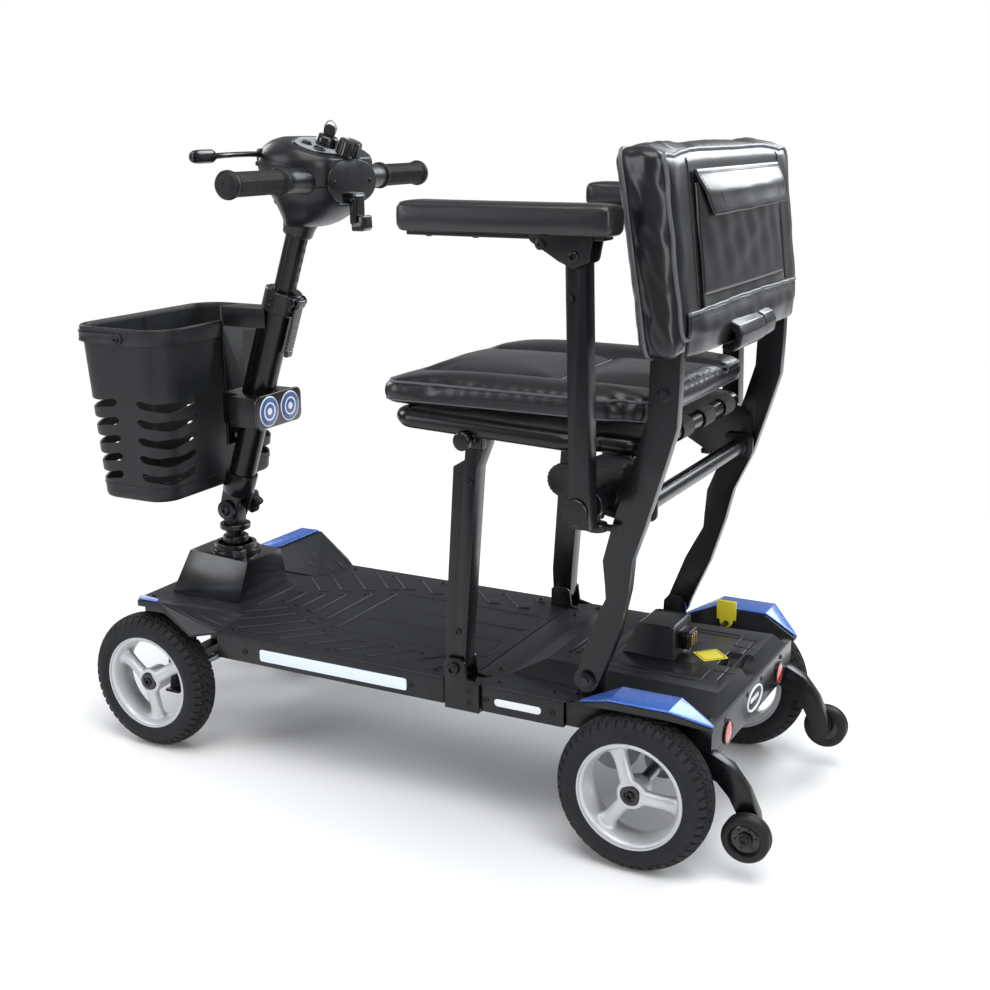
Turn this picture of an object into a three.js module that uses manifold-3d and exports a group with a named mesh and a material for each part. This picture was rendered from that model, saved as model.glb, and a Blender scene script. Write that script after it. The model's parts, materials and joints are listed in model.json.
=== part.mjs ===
// Folding four-wheel mobility scooter, built in millimetres.
// +Z is up, the front of the scooter points to -Y and its left side to +X.
// The origin is the middle of the footprint, on the ground.
import * as THREE from 'three';
import { mergeVertices } from 'three/addons/utils/BufferGeometryUtils.js';
import { ConvexGeometry } from 'three/addons/geometries/ConvexGeometry.js';
import Module from 'manifold-3d';

const wasm = await Module();
wasm.setup();

// ---------- driving dimensions ----------
// y is counted from the rear axle; the whole group is moved by CENTRE_SHIFT.
// Axes and pivots that run along X are [y, z] pairs.
const CENTRE_SHIFT = 371.25;

const WHEEL_R = 100;
const RIM_R = 68; // inner radius of the tyre
const WHEELBASE = 760;
const REAR_AXLE = [0, WHEEL_R];
const FRONT_AXLE = [-WHEELBASE, WHEEL_R];
const REAR_WHEEL_X = 202.6; // middle of a rear tyre
const FRONT_WHEEL_X = 183;
const ANTI_TIP_R = 30;
const ANTI_TIP_AXLE = [135, 60];

const DECK_TOP = 187;
const COVER_BOTTOM = DECK_TOP - 3;
const PAN_BOTTOM = 150;
const PAN_TOP = 183.7;
const PAN_WALL = 3;
const DECK_HALF = 176;
const REAR_HALF = 168; // half width of the deck between the rear wheels
const REAR_END = 83;
const SEAM_Y = -247; // where the front and rear decks meet
const SEAM_GAP = 1; // from the seam to either deck
const FOLD_AXIS = [SEAM_Y, 144];
const BATTERY = { half: 77, front: -95, rear: 58, top: 208 };
const LEVER_PIVOT = [-9, 197]; // freewheel lever

const KINGPIN_X = 138;
const STEM_Y = -745;
const TILT_AXIS = [-744, 316];
const TILLER_DIR = [0.3127, 0.94985]; // y, z; leans back 18.2 degrees
const LOWER_TUBE_R = 20;
const UPPER_TUBE_R = 16;
const HANDLEBAR = [-546, 810];
const HANDLEBAR_BORE = 11.4;

const LEG_PIVOT = [-262, 203];
const LEG_TOP = [-230, 512];
const UPRIGHT_PIVOT = [-82, 216];
const SEAT_PIVOT = [-45, 500];
const LOCK_KNOB = [-97, 478];
const ARM_SOCKET = [-50, 462];
const ARM_PIVOT = [-53, 745];

// ---------- conversion between three.js and manifold ----------
const vec = (point) => new THREE.Vector3(...point);

// A closed geometry as a manifold, turned outward if its signed volume is negative.
function solid(source) {
  const bare = source.clone();
  bare.deleteAttribute('normal');
  bare.deleteAttribute('uv');
  const merged = mergeVertices(bare, 1e-4);
  const { position } = merged.attributes;
  const index = merged.index.array;
  const corner = (i) => new THREE.Vector3().fromBufferAttribute(position, i);
  const triangles = [];
  let volume = 0;
  for (let i = 0; i < index.length; i += 3) {
    const [a, b, c] = index.slice(i, i + 3);
    if (a === b || b === c || a === c) continue;
    triangles.push(a, b, c);
    volume += corner(a).dot(corner(b).cross(corner(c)));
  }
  if (volume < 0) flip(triangles);
  return new wasm.Manifold(new wasm.Mesh({
    numProp: 3,
    vertProperties: Float32Array.from(position.array),
    triVerts: Uint32Array.from(triangles),
  }));
}

function flip(index) {
  for (let i = 0; i < index.length; i += 3) {
    [index[i + 1], index[i + 2]] = [index[i + 2], index[i + 1]];
  }
}

function geometry(shape) {
  const mesh = shape.getMesh();
  const result = new THREE.BufferGeometry();
  const vertices = Float32Array.from(mesh.vertProperties);
  result.setAttribute('position', new THREE.BufferAttribute(vertices, 3));
  result.setIndex(new THREE.BufferAttribute(Uint32Array.from(mesh.triVerts), 1));
  result.computeVertexNormals();
  return result;
}

function mirrored(source) {
  const result = source.clone();
  result.scale(-1, 1, 1);
  flip(result.index.array);
  result.computeVertexNormals();
  return result;
}

// ---------- shapes ----------
const join = (...shapes) => shapes.reduce((all, next) => all.add(next));
const cut = (shape, ...tools) => tools.reduce((rest, tool) => rest.subtract(tool), shape);

function box(x0, x1, y0, y1, z0, z1) {
  const block = new THREE.BoxGeometry(x1 - x0, y1 - y0, z1 - z0);
  block.translate((x0 + x1) / 2, (y0 + y1) / 2, (z0 + z1) / 2);
  return solid(block);
}

const turnFromTo = (from, to) => new THREE.Quaternion().setFromUnitVectors(from, to);

// A cylinder, or a cone if endRadius is given, from start to end.
function rod(start, end, radius, segments, endRadius = radius) {
  const along = vec(end).sub(vec(start));
  const length = along.length();
  const cylinder = new THREE.CylinderGeometry(endRadius, radius, length, segments, 1);
  cylinder.translate(0, length / 2, 0);
  cylinder.applyQuaternion(turnFromTo(vec([0, 1, 0]), along.normalize()));
  cylinder.translate(...start);
  return solid(cylinder);
}
const rodX = (x0, x1, y, z, radius, segments) => rod([x0, y, z], [x1, y, z], radius, segments);
const stemRod = (z0, z1, ...size) => rod([0, STEM_Y, z0], [0, STEM_Y, z1], ...size);

function extrude(points, depth) {
  const shape = new THREE.Shape(points.map(([u, v]) => new THREE.Vector2(u, v)));
  return new THREE.ExtrudeGeometry(shape, { depth, bevelEnabled: false });
}
const placed = (source, ...rows) => solid(
  source.applyMatrix4(new THREE.Matrix4().set(...rows, 0, 0, 0, 1)));

// [y, z] points extruded along X
const prismX = (x0, x1, points) => placed(extrude(points, x1 - x0),
  0, 0, 1, x0, 1, 0, 0, 0, 0, 1, 0, 0);
// [x, z] points extruded along Y
const prismY = (y0, y1, points) => placed(extrude(points, y1 - y0),
  1, 0, 0, 0, 0, 0, -1, y1, 0, 1, 0, 0);
// [x, y] points extruded along Z
const prismZ = (z0, z1, points) => placed(extrude(points, z1 - z0),
  1, 0, 0, 0, 0, 1, 0, 0, 0, 0, 1, z0);

// [radius, x] points turned about the line along X through (y, z)
function turned(profile, x, y, z, segments) {
  const points = profile.map(([radius, along]) => new THREE.Vector2(radius, along));
  return placed(new THREE.LatheGeometry(points, segments),
    0, 1, 0, x, -1, 0, 0, y, 0, 0, 1, z);
}

const hull = (points) => solid(new ConvexGeometry(points.map(vec)));

// ---------- symmetry about x = 0 ----------
const mirrorX = (points) => points.map(([x, ...rest]) => [-x, ...rest]);
// closed outline from its +X half
const symmetric = (half) => [...half, ...mirrorX(half).reverse()];
// one hull over the points and their mirror images
const wideHull = (half) => hull([...half, ...mirrorX(half)]);
// two separate hulls, one on each side
const twinHull = (points) => join(hull(mirrorX(points)), hull(points));
// two separate shapes from a builder whose first arguments are x0 and x1
const twin = (build, x0, x1, ...rest) => join(
  build(-x1, -x0, ...rest), build(x0, x1, ...rest));

// rounded rectangle in plan, x from -half to half
function roundRect(half, y0, y1, radius) {
  const steps = 3;
  const corners = [
    [half - radius, y1 - radius], [radius - half, y1 - radius],
    [radius - half, y0 + radius], [half - radius, y0 + radius],
  ];
  return corners.flatMap(([x, y], quarter) => Array.from({ length: steps + 1 }, (_, i) => {
    const angle = ((quarter + i / steps) * Math.PI) / 2;
    return [x + radius * Math.cos(angle), y + radius * Math.sin(angle)];
  }));
}

// a bent round bar; its straight pieces run a little past each bend to overlap
function bentBar(points, radius, segments) {
  return join(...points.slice(1).map((point, i) => {
    const start = vec(points[i]);
    const end = vec(point);
    const overlap = end.clone().sub(start).normalize().multiplyScalar(radius * 0.4);
    if (i > 0) start.sub(overlap);
    return rod(start.toArray(), end.add(overlap).toArray(), radius, segments);
  }));
}

// hulls between neighbouring stations: [y, bottom z, top z, inner x, outer x]
const skin = (stations) => stations.slice(1).map((next, i) => (
  [stations[i], next].flatMap(([y, bottom, top, inner, outer]) => [
    [inner, y, bottom], [outer, y, bottom], [inner, y, top], [outer, y, top],
  ])));

// ---------- materials ----------
const finishes = {
  frame: { color: 0x15161a, roughness: 0.35, metalness: 0.6 },
  plastic: { color: 0x2b2c2e, roughness: 0.65 },
  gloss: { color: 0x1b1c20, roughness: 0.3 },
  blue: { color: 0x3b53c8, roughness: 0.35, metalness: 0.3 },
  rim: { color: 0xc9cacd, roughness: 0.4, metalness: 0.4 },
  tyre: { color: 0x262728, roughness: 0.85 },
  rubber: { color: 0x232425, roughness: 0.75 },
  leather: { color: 0x1a1b1e, roughness: 0.45 },
  steel: { color: 0x8d8f93, roughness: 0.35, metalness: 0.9 },
  yellow: { color: 0xe5d21e, roughness: 0.5 },
};

const scooter = new THREE.Group();
scooter.position.y = CENTRE_SHIFT;

function addGeometry(name, source, finish) {
  const mesh = new THREE.Mesh(source, new THREE.MeshStandardMaterial(finishes[finish]));
  mesh.name = name;
  scooter.add(mesh);
}
const add = (name, shape, finish) => addGeometry(name, geometry(shape), finish);

// the shape is built on the left and mirrored to the right
function pair(name, shape, finish) {
  const left = geometry(shape);
  addGeometry(`left_${name}`, left, finish);
  addGeometry(`right_${name}`, mirrored(left), finish);
}

// ---------- rear deck ----------
// corner notch that takes the deck hinge bracket
const bracketNotch = (z0, z1) => twin(box, 143.5, 182, SEAM_Y - 5, -224.5, z0, z1);

// pressed tray with rear panel, hinge knuckles and upright lugs
function rearDeckPan() {
  const outline = (inset) => symmetric([
    [DECK_HALF - inset, SEAM_Y + SEAM_GAP + inset], [DECK_HALF - inset, -108 - inset],
    [REAR_HALF - inset, -108 - inset], [REAR_HALF - inset, REAR_END - inset],
  ]);
  const lug = [[-100, 151], [-64, 151], [-66, 222], [-74, 232], [-90, 232], [-98, 222]];
  const tray = join(
    cut(prismZ(PAN_BOTTOM, PAN_TOP, outline(0)),
      prismZ(PAN_BOTTOM + PAN_WALL, 200, outline(PAN_WALL))),
    box(-REAR_HALF, REAR_HALF, 79.5, REAR_END, 138, PAN_TOP),
  );
  const antiTipSlots = twin(box, 149, 169, 75, 90, 130, 149.95);
  return join(
    cut(tray, antiTipSlots, bracketNotch(140, 200)),
    // hinge knuckles under the front edge, and their pin
    twin(rodX, 96, 120, ...FOLD_AXIS, 5.8, 12),
    twin(box, 96, 120, SEAM_Y + 1, SEAM_Y + 14, 142, 151),
    rodX(-121, 121, ...FOLD_AXIS, 3.5, 12),
    // lugs and headed pins for the uprights
    twin(prismX, 144, 150, lug),
    twin(rodX, 148, 168.5, ...UPRIGHT_PIVOT, 5, 12),
    twin(rodX, 168, 172, ...UPRIGHT_PIVOT, 9, 12),
  );
}
add('rear_deck_pan', rearDeckPan(), 'frame');

// round hand recess behind the battery's grip
const handRecess = (frontY) => rod([0, frontY, 214], [0, 92, 214], 26, 20);

// top plate, raised plateau and the two fender shells
function rearDeckCover() {
  const { half, front, rear, top } = BATTERY;
  const outline = symmetric([
    [DECK_HALF, SEAM_Y + SEAM_GAP], [DECK_HALF, -104], [REAR_HALF, -96], [REAR_HALF, REAR_END],
  ]);
  const plateau = wideHull([
    [125, -208, DECK_TOP - 1], [142, 82.5, DECK_TOP - 1], [105, -164, top], [115, 72, top],
  ]);
  const fender = skin([
    [-88, 184, 187, 168.4, 177], [-31, 205, 214, 168.4, 216],
    [45, 205, 214, 168.4, 216], [88, 184, 187, 168.4, 179],
  ]);
  const fenderWall = [[-88, 184], [88, 184], [88, 187], [45, 214], [-31, 214], [-88, 187]];
  const cover = cut(
    join(prismZ(COVER_BOTTOM, DECK_TOP, outline), plateau, ...fender.map(twinHull),
      twin(prismX, 165, 169, fenderWall)),
    twin(box, 143, 151, -103, -61, 170, 240), // clearance for the upright lugs
    bracketNotch(170, 240),
    box(-half - 1, half + 1, front - 1, rear + 1, 160, 230), // battery well
    handRecess(62),
  );
  return join(cover, rodX(-161, -128, ...LEVER_PIVOT, 3.5, 10));
}
add('rear_deck_cover', rearDeckCover(), 'plastic');

// blue caps on the rear fenders
const rearTrim = skin([
  [-86, 188.4, 191, 168.5, 176], [-31, 214.4, 217, 168.5, 215.5],
  [45, 214.4, 217, 168.5, 215.5], [87, 188.2, 190.8, 172, 178],
]);
pair('rear_fender_trim', join(...rearTrim.map(hull)), 'blue');

// block at the seam with two cheeks that carry the pin of a front leg
function hingeBracket() {
  const cheek = [
    [-276, 147], [-226, 147], [-226, 186], [-244, 190],
    [-247, 212], [-252, 217], [-271, 217], [-276, 212],
  ];
  return join(
    box(145, 180, -276, -226, 147.2, 186),
    prismX(145, 149, cheek), prismX(176, 180, cheek),
    rodX(148, 177, ...LEG_PIVOT, 5, 12), rodX(179.5, 184, ...LEG_PIVOT, 8, 12),
  );
}
pair('hinge_bracket', hingeBracket(), 'frame');

// ---------- drive and wheels ----------
// axle tube, gearbox, motor, the block between them and two hangers
function transaxle() {
  const body = join(
    rodX(-118, 118, ...REAR_AXLE, 20, 12),
    rodX(-28, 30, -6, 100, 42, 16),
    rodX(-74, 84, -72, 104, 34, 16),
    box(-24, 26, -72, -4, 78, 128),
    twin(box, 100, 112, -14, 14, 100, 149.6),
  );
  return cut(body, twin(rodX, 92, 130, ...REAR_AXLE, 8.8, 16));
}
add('transaxle', transaxle(), 'steel');

function antiTipArm() {
  const side = [
    [18, 149.6], [84, 149.6], [108, 138], [129, 112], [143, 82], [147, 60], [141, 49],
    [129, 48.5], [123, 58], [118, 76], [106, 98], [90, 115], [70, 122], [18, 124],
  ];
  return join(prismX(150, 166, side), rodX(160, 191, ...ANTI_TIP_AXLE, 4.5, 12));
}
pair('anti_tip_arm', antiTipArm(), 'frame');

// wheel with a recess in its outer face
function antiTipWheel() {
  const profile = [
    [5.2, -11], [26, -11], [ANTI_TIP_R, -7], [ANTI_TIP_R, 7], [26, 11],
    [20, 11], [18, 5], [5.2, 5], [5.2, -11],
  ];
  return cut(turned(profile, 182, ...ANTI_TIP_AXLE, 16),
    rodX(160, 180, ...ANTI_TIP_AXLE, 5.1, 12));
}
pair('anti_tip_wheel', antiTipWheel(), 'rubber');

function tyre(x, axle) {
  const profile = [
    [RIM_R, -21], [84, -25], [96, -20], [WHEEL_R, -8], [WHEEL_R, 8],
    [96, 20], [84, 25], [RIM_R, 21], [RIM_R, -21],
  ];
  return turned(profile, x, ...axle, 24);
}

// ring, hub and three tapered spokes
function rim(x, axle) {
  const profile = [[60, -19], [67.2, -19.5], [67.2, 19.5], [61, 19], [58, 0], [60, -19]];
  // [radius, half width, x from the wheel's middle], one corner on each side of the spoke
  const spokeEdges = [[11, 11, 0], [11, 9, 15], [60, 10, 0], [60, 7, 12]];
  const [axleY, axleZ] = axle;
  const spokes = [0, 1, 2].map((i) => {
    const angle = ((104 + 120 * i) * Math.PI) / 180;
    const cos = Math.cos(angle);
    const sin = Math.sin(angle);
    return hull(spokeEdges.flatMap(([radius, half, offset]) => [-half, half].map((across) => [
      x + offset, axleY + radius * cos - across * sin, axleZ + radius * sin + across * cos,
    ])));
  });
  return join(turned(profile, x, ...axle, 24), rodX(x - 14, x + 17, ...axle, 17, 12), ...spokes);
}

pair('rear_tyre', tyre(REAR_WHEEL_X, REAR_AXLE), 'tyre');
// the rear rim carries its half axle
const halfAxle = rodX(96, REAR_WHEEL_X, ...REAR_AXLE, 8, 16);
pair('rear_rim', join(rim(REAR_WHEEL_X, REAR_AXLE), halfAxle), 'rim');
pair('front_tyre', tyre(FRONT_WHEEL_X, FRONT_AXLE), 'tyre');
const frontBore = rodX(150, 196, ...FRONT_AXLE, 8.3, 16);
pair('front_rim', cut(rim(FRONT_WHEEL_X, FRONT_AXLE), frontBore), 'rim');

// ---------- battery and freewheel lever ----------
function batteryPack() {
  const { half, front, rear, top } = BATTERY;
  const grip = wideHull([
    [37, -88, top - 1], [37, -15, top - 1], [33, -68, 249], [33, -18, 249],
  ]);
  const pack = join(box(-half, half, front, rear, 154, top), grip,
    box(-14, 14, -18, -2, 216, 240));
  return cut(pack, handRecess(40));
}
add('battery_pack', batteryPack(), 'plastic');

// on the right side
function freewheelLever() {
  const lever = join(box(-160.5, -156.5, -23, 5, 202, 230),
    rodX(-160.5, -156.5, -9, 200, 9.5, 16));
  return cut(lever, rodX(-170, -150, ...LEVER_PIVOT, 4, 10));
}
add('freewheel_lever', freewheelLever(), 'yellow');

// ---------- front deck ----------
// tray with the axle beam and a yoke at each end of it
function frontDeckPan() {
  const outline = (inset) => symmetric([
    [143 - inset, SEAM_Y - SEAM_GAP - inset], [143 - inset, -280 - inset],
    [DECK_HALF - inset, -280 - inset], [DECK_HALF - inset, -648 + inset],
    [98 - inset, -664 + inset], [98 - inset, -848 + inset],
  ]);
  const beamY = [-772, -748];
  const pan = join(
    cut(prismZ(PAN_BOTTOM, PAN_TOP, outline(0)),
      prismZ(PAN_BOTTOM + PAN_WALL, 200, outline(PAN_WALL))),
    // hinge knuckles
    twin(rodX, 70, 95.4, ...FOLD_AXIS, 5.8, 12),
    twin(box, 70, 95.4, SEAM_Y - 14, SEAM_Y - 1, 142, 151),
    // yokes: web, upper and lower arm
    twin(box, 108, 121, ...beamY, 65, 135),
    twin(box, 108, 150, ...beamY, 131, 135),
    twin(box, 108, 150, ...beamY, 65, 69),
    // beam and the two posts that carry the pan
    box(-110, 110, ...beamY, 88, 112),
    twin(box, 24, 40, ...beamY, 100, 151),
  );
  return cut(pan, rodX(-130, 130, ...FOLD_AXIS, 4.1, 12), stemRod(80, 200, 16, 20));
}
add('front_deck_pan', frontDeckPan(), 'frame');

// Each fender is two thin facets that meet on a ridge: high at the outer edge, down to the
// deck inside, with its front edge running diagonally.
function frontDeckCover() {
  const outline = symmetric([
    [143, SEAM_Y - SEAM_GAP], [143, -280], [DECK_HALF, -280],
    [DECK_HALF, -650], [104, -664], [104, -850],
  ]);
  // facet corners: x, y, top z, thickness
  const outerRidge = [203, -726, 227, 9];
  const innerRidge = [97, -692, 189, 4];
  const facets = [
    [outerRidge, [203, -766, 225.4, 9], [98, -849, 187, 3], innerRidge],
    [outerRidge, innerRidge, [176, -648, 187, 3], [203, -674, 187, 3], [98, -662, 187, 3]],
  ];
  const fenders = facets.map((corners) => twinHull(
    corners.flatMap(([x, y, z, thickness]) => [[x, y, z], [x, y, z - thickness]])));
  return cut(join(prismZ(COVER_BOTTOM, DECK_TOP, outline), ...fenders),
    stemRod(170, 200, 20, 20));
}
add('front_deck_cover', frontDeckCover(), 'plastic');

// blue strip along the diagonal front edge of each front fender
function frontFenderTrim() {
  const slope = { x: 0.3633, y: 0.01505 }; // rise of the front facet per mm
  const plan = [[202.5, -730], [202.5, -765], [112, -842], [148, -774]];
  return hull(plan.flatMap(([x, y]) => [0.5, 2.7].map((height) => (
    [x, y, DECK_TOP + slope.x * (x - 98) + slope.y * (y + 849) + height]))));
}
pair('front_fender_trim', frontFenderTrim(), 'blue');

// ---------- steering ----------
// tapered housing with a conical collar round the stem
function tillerShroud() {
  const housing = wideHull([[62, -822, 187.4], [62, -696, 187.4], [42, -800, 252], [42, -692, 246]]);
  return cut(join(housing, stemRod(225, 262, 35, 28, 32)),
    stemRod(180, 300, 20, 20), stemRod(246, 300, 27, 24));
}
add('tiller_shroud', tillerShroud(), 'plastic');

// kingpin, stub axle and steering arm
const knuckle = join(
  rod([KINGPIN_X, -WHEELBASE, 69.6], [KINGPIN_X, -WHEELBASE, 130.4], 10, 16),
  rodX(KINGPIN_X, 194, ...FRONT_AXLE, 7.5, 12),
  box(KINGPIN_X - 6, KINGPIN_X + 6, -757, -704, 104, 112),
);
pair('knuckle', knuckle, 'frame');
add('tie_rod', box(-144, 144, -717, -705, 112.6, 120.4), 'steel');

// column with a drop arm at its foot and the tilt hinge's tongue and bolt on top
function steeringStem() {
  const tongue = [
    [-757, 290], [-731, 290], [-730.5, 318], [-735, 326],
    [-744, 329.5], [-753, 326], [-757.5, 318],
  ];
  const stem = join(
    stemRod(121, 296, 14, 16), box(-9, 9, STEM_Y, -703, 121, 127), prismX(-11, 11, tongue),
    rodX(-34, 17.6, ...TILT_AXIS, 5, 12), rodX(17.4, 22, ...TILT_AXIS, 15, 20),
  );
  return cut(stem, stemRod(100, 180, 6, 12));
}
add('steering_stem', steeringStem(), 'frame');

// ---------- tiller ----------
// a point at a distance up the tiller from the tilt axis, and behind its centre line
const onTiller = (along, x = 0, behind = 0) => [
  x,
  TILT_AXIS[0] + TILLER_DIR[0] * along + TILLER_DIR[1] * behind,
  TILT_AXIS[1] + TILLER_DIR[1] * along - TILLER_DIR[0] * behind,
];
const tillerRod = (from, to, ...size) => rod(onTiller(from), onTiller(to), ...size);
const tillerBox = (x0, x1, from, to, behind0, behind1) => hull(
  [x0, x1].flatMap((x) => [from, to].flatMap((along) => (
    [behind0, behind1].map((behind) => onTiller(along, x, behind))))));

// tube with a fork at the tilt hinge, a rib in front and clamp ears behind
function lowerTillerTube() {
  const tube = join(
    tillerRod(26, 356, LOWER_TUBE_R, 20),
    twin(rodX, 11.6, 17, ...TILT_AXIS, 15, 20),
    twin(tillerBox, 11.6, 17, 0, 34, -14, 14),
    tillerBox(-7, 7, 120, 352, -27, -14),
    twin(tillerBox, 11, 15, 338, 352, 10, 27),
  );
  return cut(tube, tillerRod(150, 400, UPPER_TUBE_R + 0.7, 20),
    rodX(-30, 30, ...TILT_AXIS, 5.7, 12));
}
add('lower_tiller_tube', lowerTillerTube(), 'frame');

// five-lobed knob on the right of the tilt hinge
function tiltKnob() {
  const radius = 13;
  const lobes = [0, 1, 2, 3, 4].map((i) => {
    const angle = (i * 72 * Math.PI) / 180;
    const y = TILT_AXIS[0] + radius * Math.cos(angle);
    const z = TILT_AXIS[1] + radius * Math.sin(angle);
    return rodX(-37, -50, y, z, 5, 10);
  });
  return join(rodX(-35, -52, ...TILT_AXIS, radius, 16), ...lobes);
}
add('tilt_knob', tiltKnob(), 'plastic');

// behind the top of the lower tube
const clampLever = join(
  tillerBox(-10, 10, 262, 350, 26, 30.5), tillerBox(-10, 10, 340, 350, 24, 34));
add('height_clamp_lever', clampLever, 'plastic');
add('upper_tiller_tube', tillerRod(188, 452, UPPER_TUBE_R, 20), 'frame');

// ---------- basket ----------
const BASKET_BOTTOM = { z: 350, half: 136, front: -890, rear: -760 };
const BASKET_TOP = { z: 604, half: 155, front: -902, rear: -735 };
const BASKET_PIVOT = [-811, 590];

// half width, front y and rear y of the outside at a height
function basketAt(z) {
  const share = (z - BASKET_BOTTOM.z) / (BASKET_TOP.z - BASKET_BOTTOM.z);
  return ['half', 'front', 'rear'].map((key) => (
    BASKET_BOTTOM[key] + (BASKET_TOP[key] - BASKET_BOTTOM[key]) * share));
}
function basketRing(z, radius, wall = 0) {
  const [half, front, rear] = basketAt(z);
  return roundRect(half - wall, front + wall, rear - wall, radius).map(([x, y]) => [x, y, z]);
}

// five angled slots up each corner
function cornerSlots() {
  const slots = [];
  for (let i = 0; i < 5; i++) {
    const z = 385 + 27 * i;
    const [half, front, rear] = basketAt(z);
    for (const sideX of [-1, 1]) {
      for (const [y, sideY, length] of [[front, -1, 46], [rear, 1, 52]]) {
        // distances inward from the corner, in x and y
        const inward = [[-5, -5], [-5, length], [2, length], [length, 2], [length, -5]];
        slots.push(prismZ(z - 6, z + 6, inward.map(([inX, inY]) => (
          [sideX * (half - inX), y - sideY * inY]))));
      }
    }
  }
  return slots;
}

function basket() {
  const bottom = BASKET_BOTTOM.z;
  const top = BASKET_TOP.z;
  const outer = hull([...basketRing(bottom, 36), ...basketRing(top, 42)]);
  const inner = hull([...basketRing(bottom + 4, 33, 3), ...basketRing(top + 20, 39, 3)]);
  const floorSlots = [15, 45, 75].map((x) => twin(box, x - 4, x + 4, -866, -780, 340, 362));
  return join(cut(outer, inner, ...cornerSlots(), ...floorSlots),
    twin(rodX, 152, 161, ...BASKET_PIVOT, 3.5, 10));
}
add('basket', basket(), 'plastic');

// U-shaped band round the front, with a boss at each end
function basketHandle() {
  const band = 3.6;
  const outline = (inset) => roundRect(160 - inset, -907.5 + inset, -700, 46 - inset);
  const [pivotY, pivotZ] = BASKET_PIVOT;
  const handle = cut(prismZ(583, 598, outline(0)), prismZ(580, 600, outline(band)),
    box(-170, 170, pivotY, -690, 570, 610));
  const bosses = twin(rodX, 160 - band, 160, pivotY, pivotZ + 0.5, 7.5, 16);
  return cut(join(handle, bosses), rodX(-165, 165, ...BASKET_PIVOT, 4.1, 10));
}
add('basket_handle', basketHandle(), 'plastic');

// plate behind the basket, with blocks that reach back round the tiller
function basketBracket() {
  const bracket = join(
    box(-24, 24, -733.5, -729.5, 420, 626), box(-22, 22, -731, -655, 598, 626),
    box(-52, 52, -703, -655, 456, 500), box(-31, 31, -731, -695, 456, 500),
  );
  const tube = tillerRod(60, 380, LOWER_TUBE_R + 0.4, 20);
  const rib = tillerBox(-7.4, 7.4, 110, 354, -27.4, -10);
  const leverRoom = tillerBox(-40, 40, 280, 360, 22, 60);
  return cut(bracket, join(tube, rib), leverRoom);
}
add('basket_bracket', basketBracket(), 'frame');

// ---------- head, handlebar and controls ----------
const PANEL_POINT = [0, -560, 855]; // on the instrument panel
const PANEL_UP = [0, 0.342, 0.94]; // leans to the rider
// the panel point level with y before tilting, raised by height
function onPanel(y, height) {
  const along = y - PANEL_POINT[1];
  const [, lean, rise] = PANEL_UP;
  return [
    0,
    PANEL_POINT[1] + along * rise + height * lean,
    PANEL_POINT[2] - along * lean + height * rise,
  ];
}
const handlebarBore = rodX(-130, 130, ...HANDLEBAR, HANDLEBAR_BORE, 16);

// everything above the instrument panel
function abovePanel() {
  const height = 60;
  const up = vec(PANEL_UP);
  const block = new THREE.BoxGeometry(220, 220, height);
  block.applyQuaternion(turnFromTo(vec([0, 0, 1]), up.clone().normalize()));
  block.translate(...vec(PANEL_POINT).addScaledVector(up, height / 2).toArray());
  return solid(block);
}

// whole head, a stack of superelliptic sections
function headBody() {
  // z, middle y, half width, half depth
  const sections = [
    [742, -592, 32, 26], [752, -580, 42, 36], [768, -570, 54, 50], [783, -566, 66, 58],
    [800, -568, 76, 64], [820, -571, 83, 68], [838, -573, 83, 68], [852, -575, 74, 60],
    [862, -578, 56, 46], [868, -582, 34, 30],
  ];
  const curve = (value) => Math.sign(value) * Math.abs(value) ** (2 / 2.6);
  const points = sections.flatMap(([z, middle, halfX, halfY]) => (
    Array.from({ length: 20 }, (_, i) => {
      const angle = (i * Math.PI) / 10;
      return [halfX * curve(Math.cos(angle)), middle + halfY * curve(Math.sin(angle)), z];
    })));
  return cut(
    join(hull(points), tillerRod(428, 470, 23, 20)),
    box(-130, 130, -513, -400, 700, 900), // flat rear face
    abovePanel(),
    tillerRod(380, 452.6, UPPER_TUBE_R + 0.4, 20),
    handlebarBore,
    box(50, 120, -640, -600, 831, 900), // notch for the throttle lever's pivot
  );
}

const head = headBody();
const lowerShell = cut(head, box(-140, 140, -700, -400, 800, 900),
  rodX(-130, 130, ...HANDLEBAR, 16.9, 20));
const barSleeves = cut(twin(rodX, 62, 119.4, ...HANDLEBAR, 16.5, 20), handlebarBore);
const upperShell = join(cut(head, box(-140, 140, -700, -400, 700, 800.3)), barSleeves);
add('head_lower_shell', lowerShell, 'plastic');
add('head_upper_shell', upperShell, 'plastic');
add('handlebar', rodX(-226, 226, ...HANDLEBAR, 11, 16), 'frame');
const grip = cut(rodX(120, 234, ...HANDLEBAR, 15.5, 20), rodX(100, 227, ...HANDLEBAR, 11.3, 16));
pair('grip', grip, 'rubber');

// pivot, rod and paddle ahead of the left grip
const throttleLever = join(
  rod([62, -616, 834], [62, -616, 850], 7, 14),
  rod([62, -616, 843], [196, -592, 844], 3.6, 10),
  hull([
    [190, -596, 836], [190, -588, 836], [190, -596, 852], [190, -588, 852],
    [247, -591, 835], [247, -584, 835], [247, -591, 853], [247, -584, 853],
  ]),
);
add('throttle_lever', throttleLever, 'plastic');

function ignitionKey() {
  const keyY = -554;
  const ring = new THREE.TorusGeometry(9, 2.2, 5, 12);
  ring.rotateY(Math.PI / 2);
  ring.translate(...onPanel(keyY, 23));
  return join(rod(onPanel(keyY, 0.4), onPanel(keyY, 15), 15, 20, 13.5), solid(ring));
}
add('ignition_key', ignitionKey(), 'gloss');
add('speed_dial', rod(onPanel(-517, 0.4), onPanel(-517, 22), 17, 24, 15), 'gloss');

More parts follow.
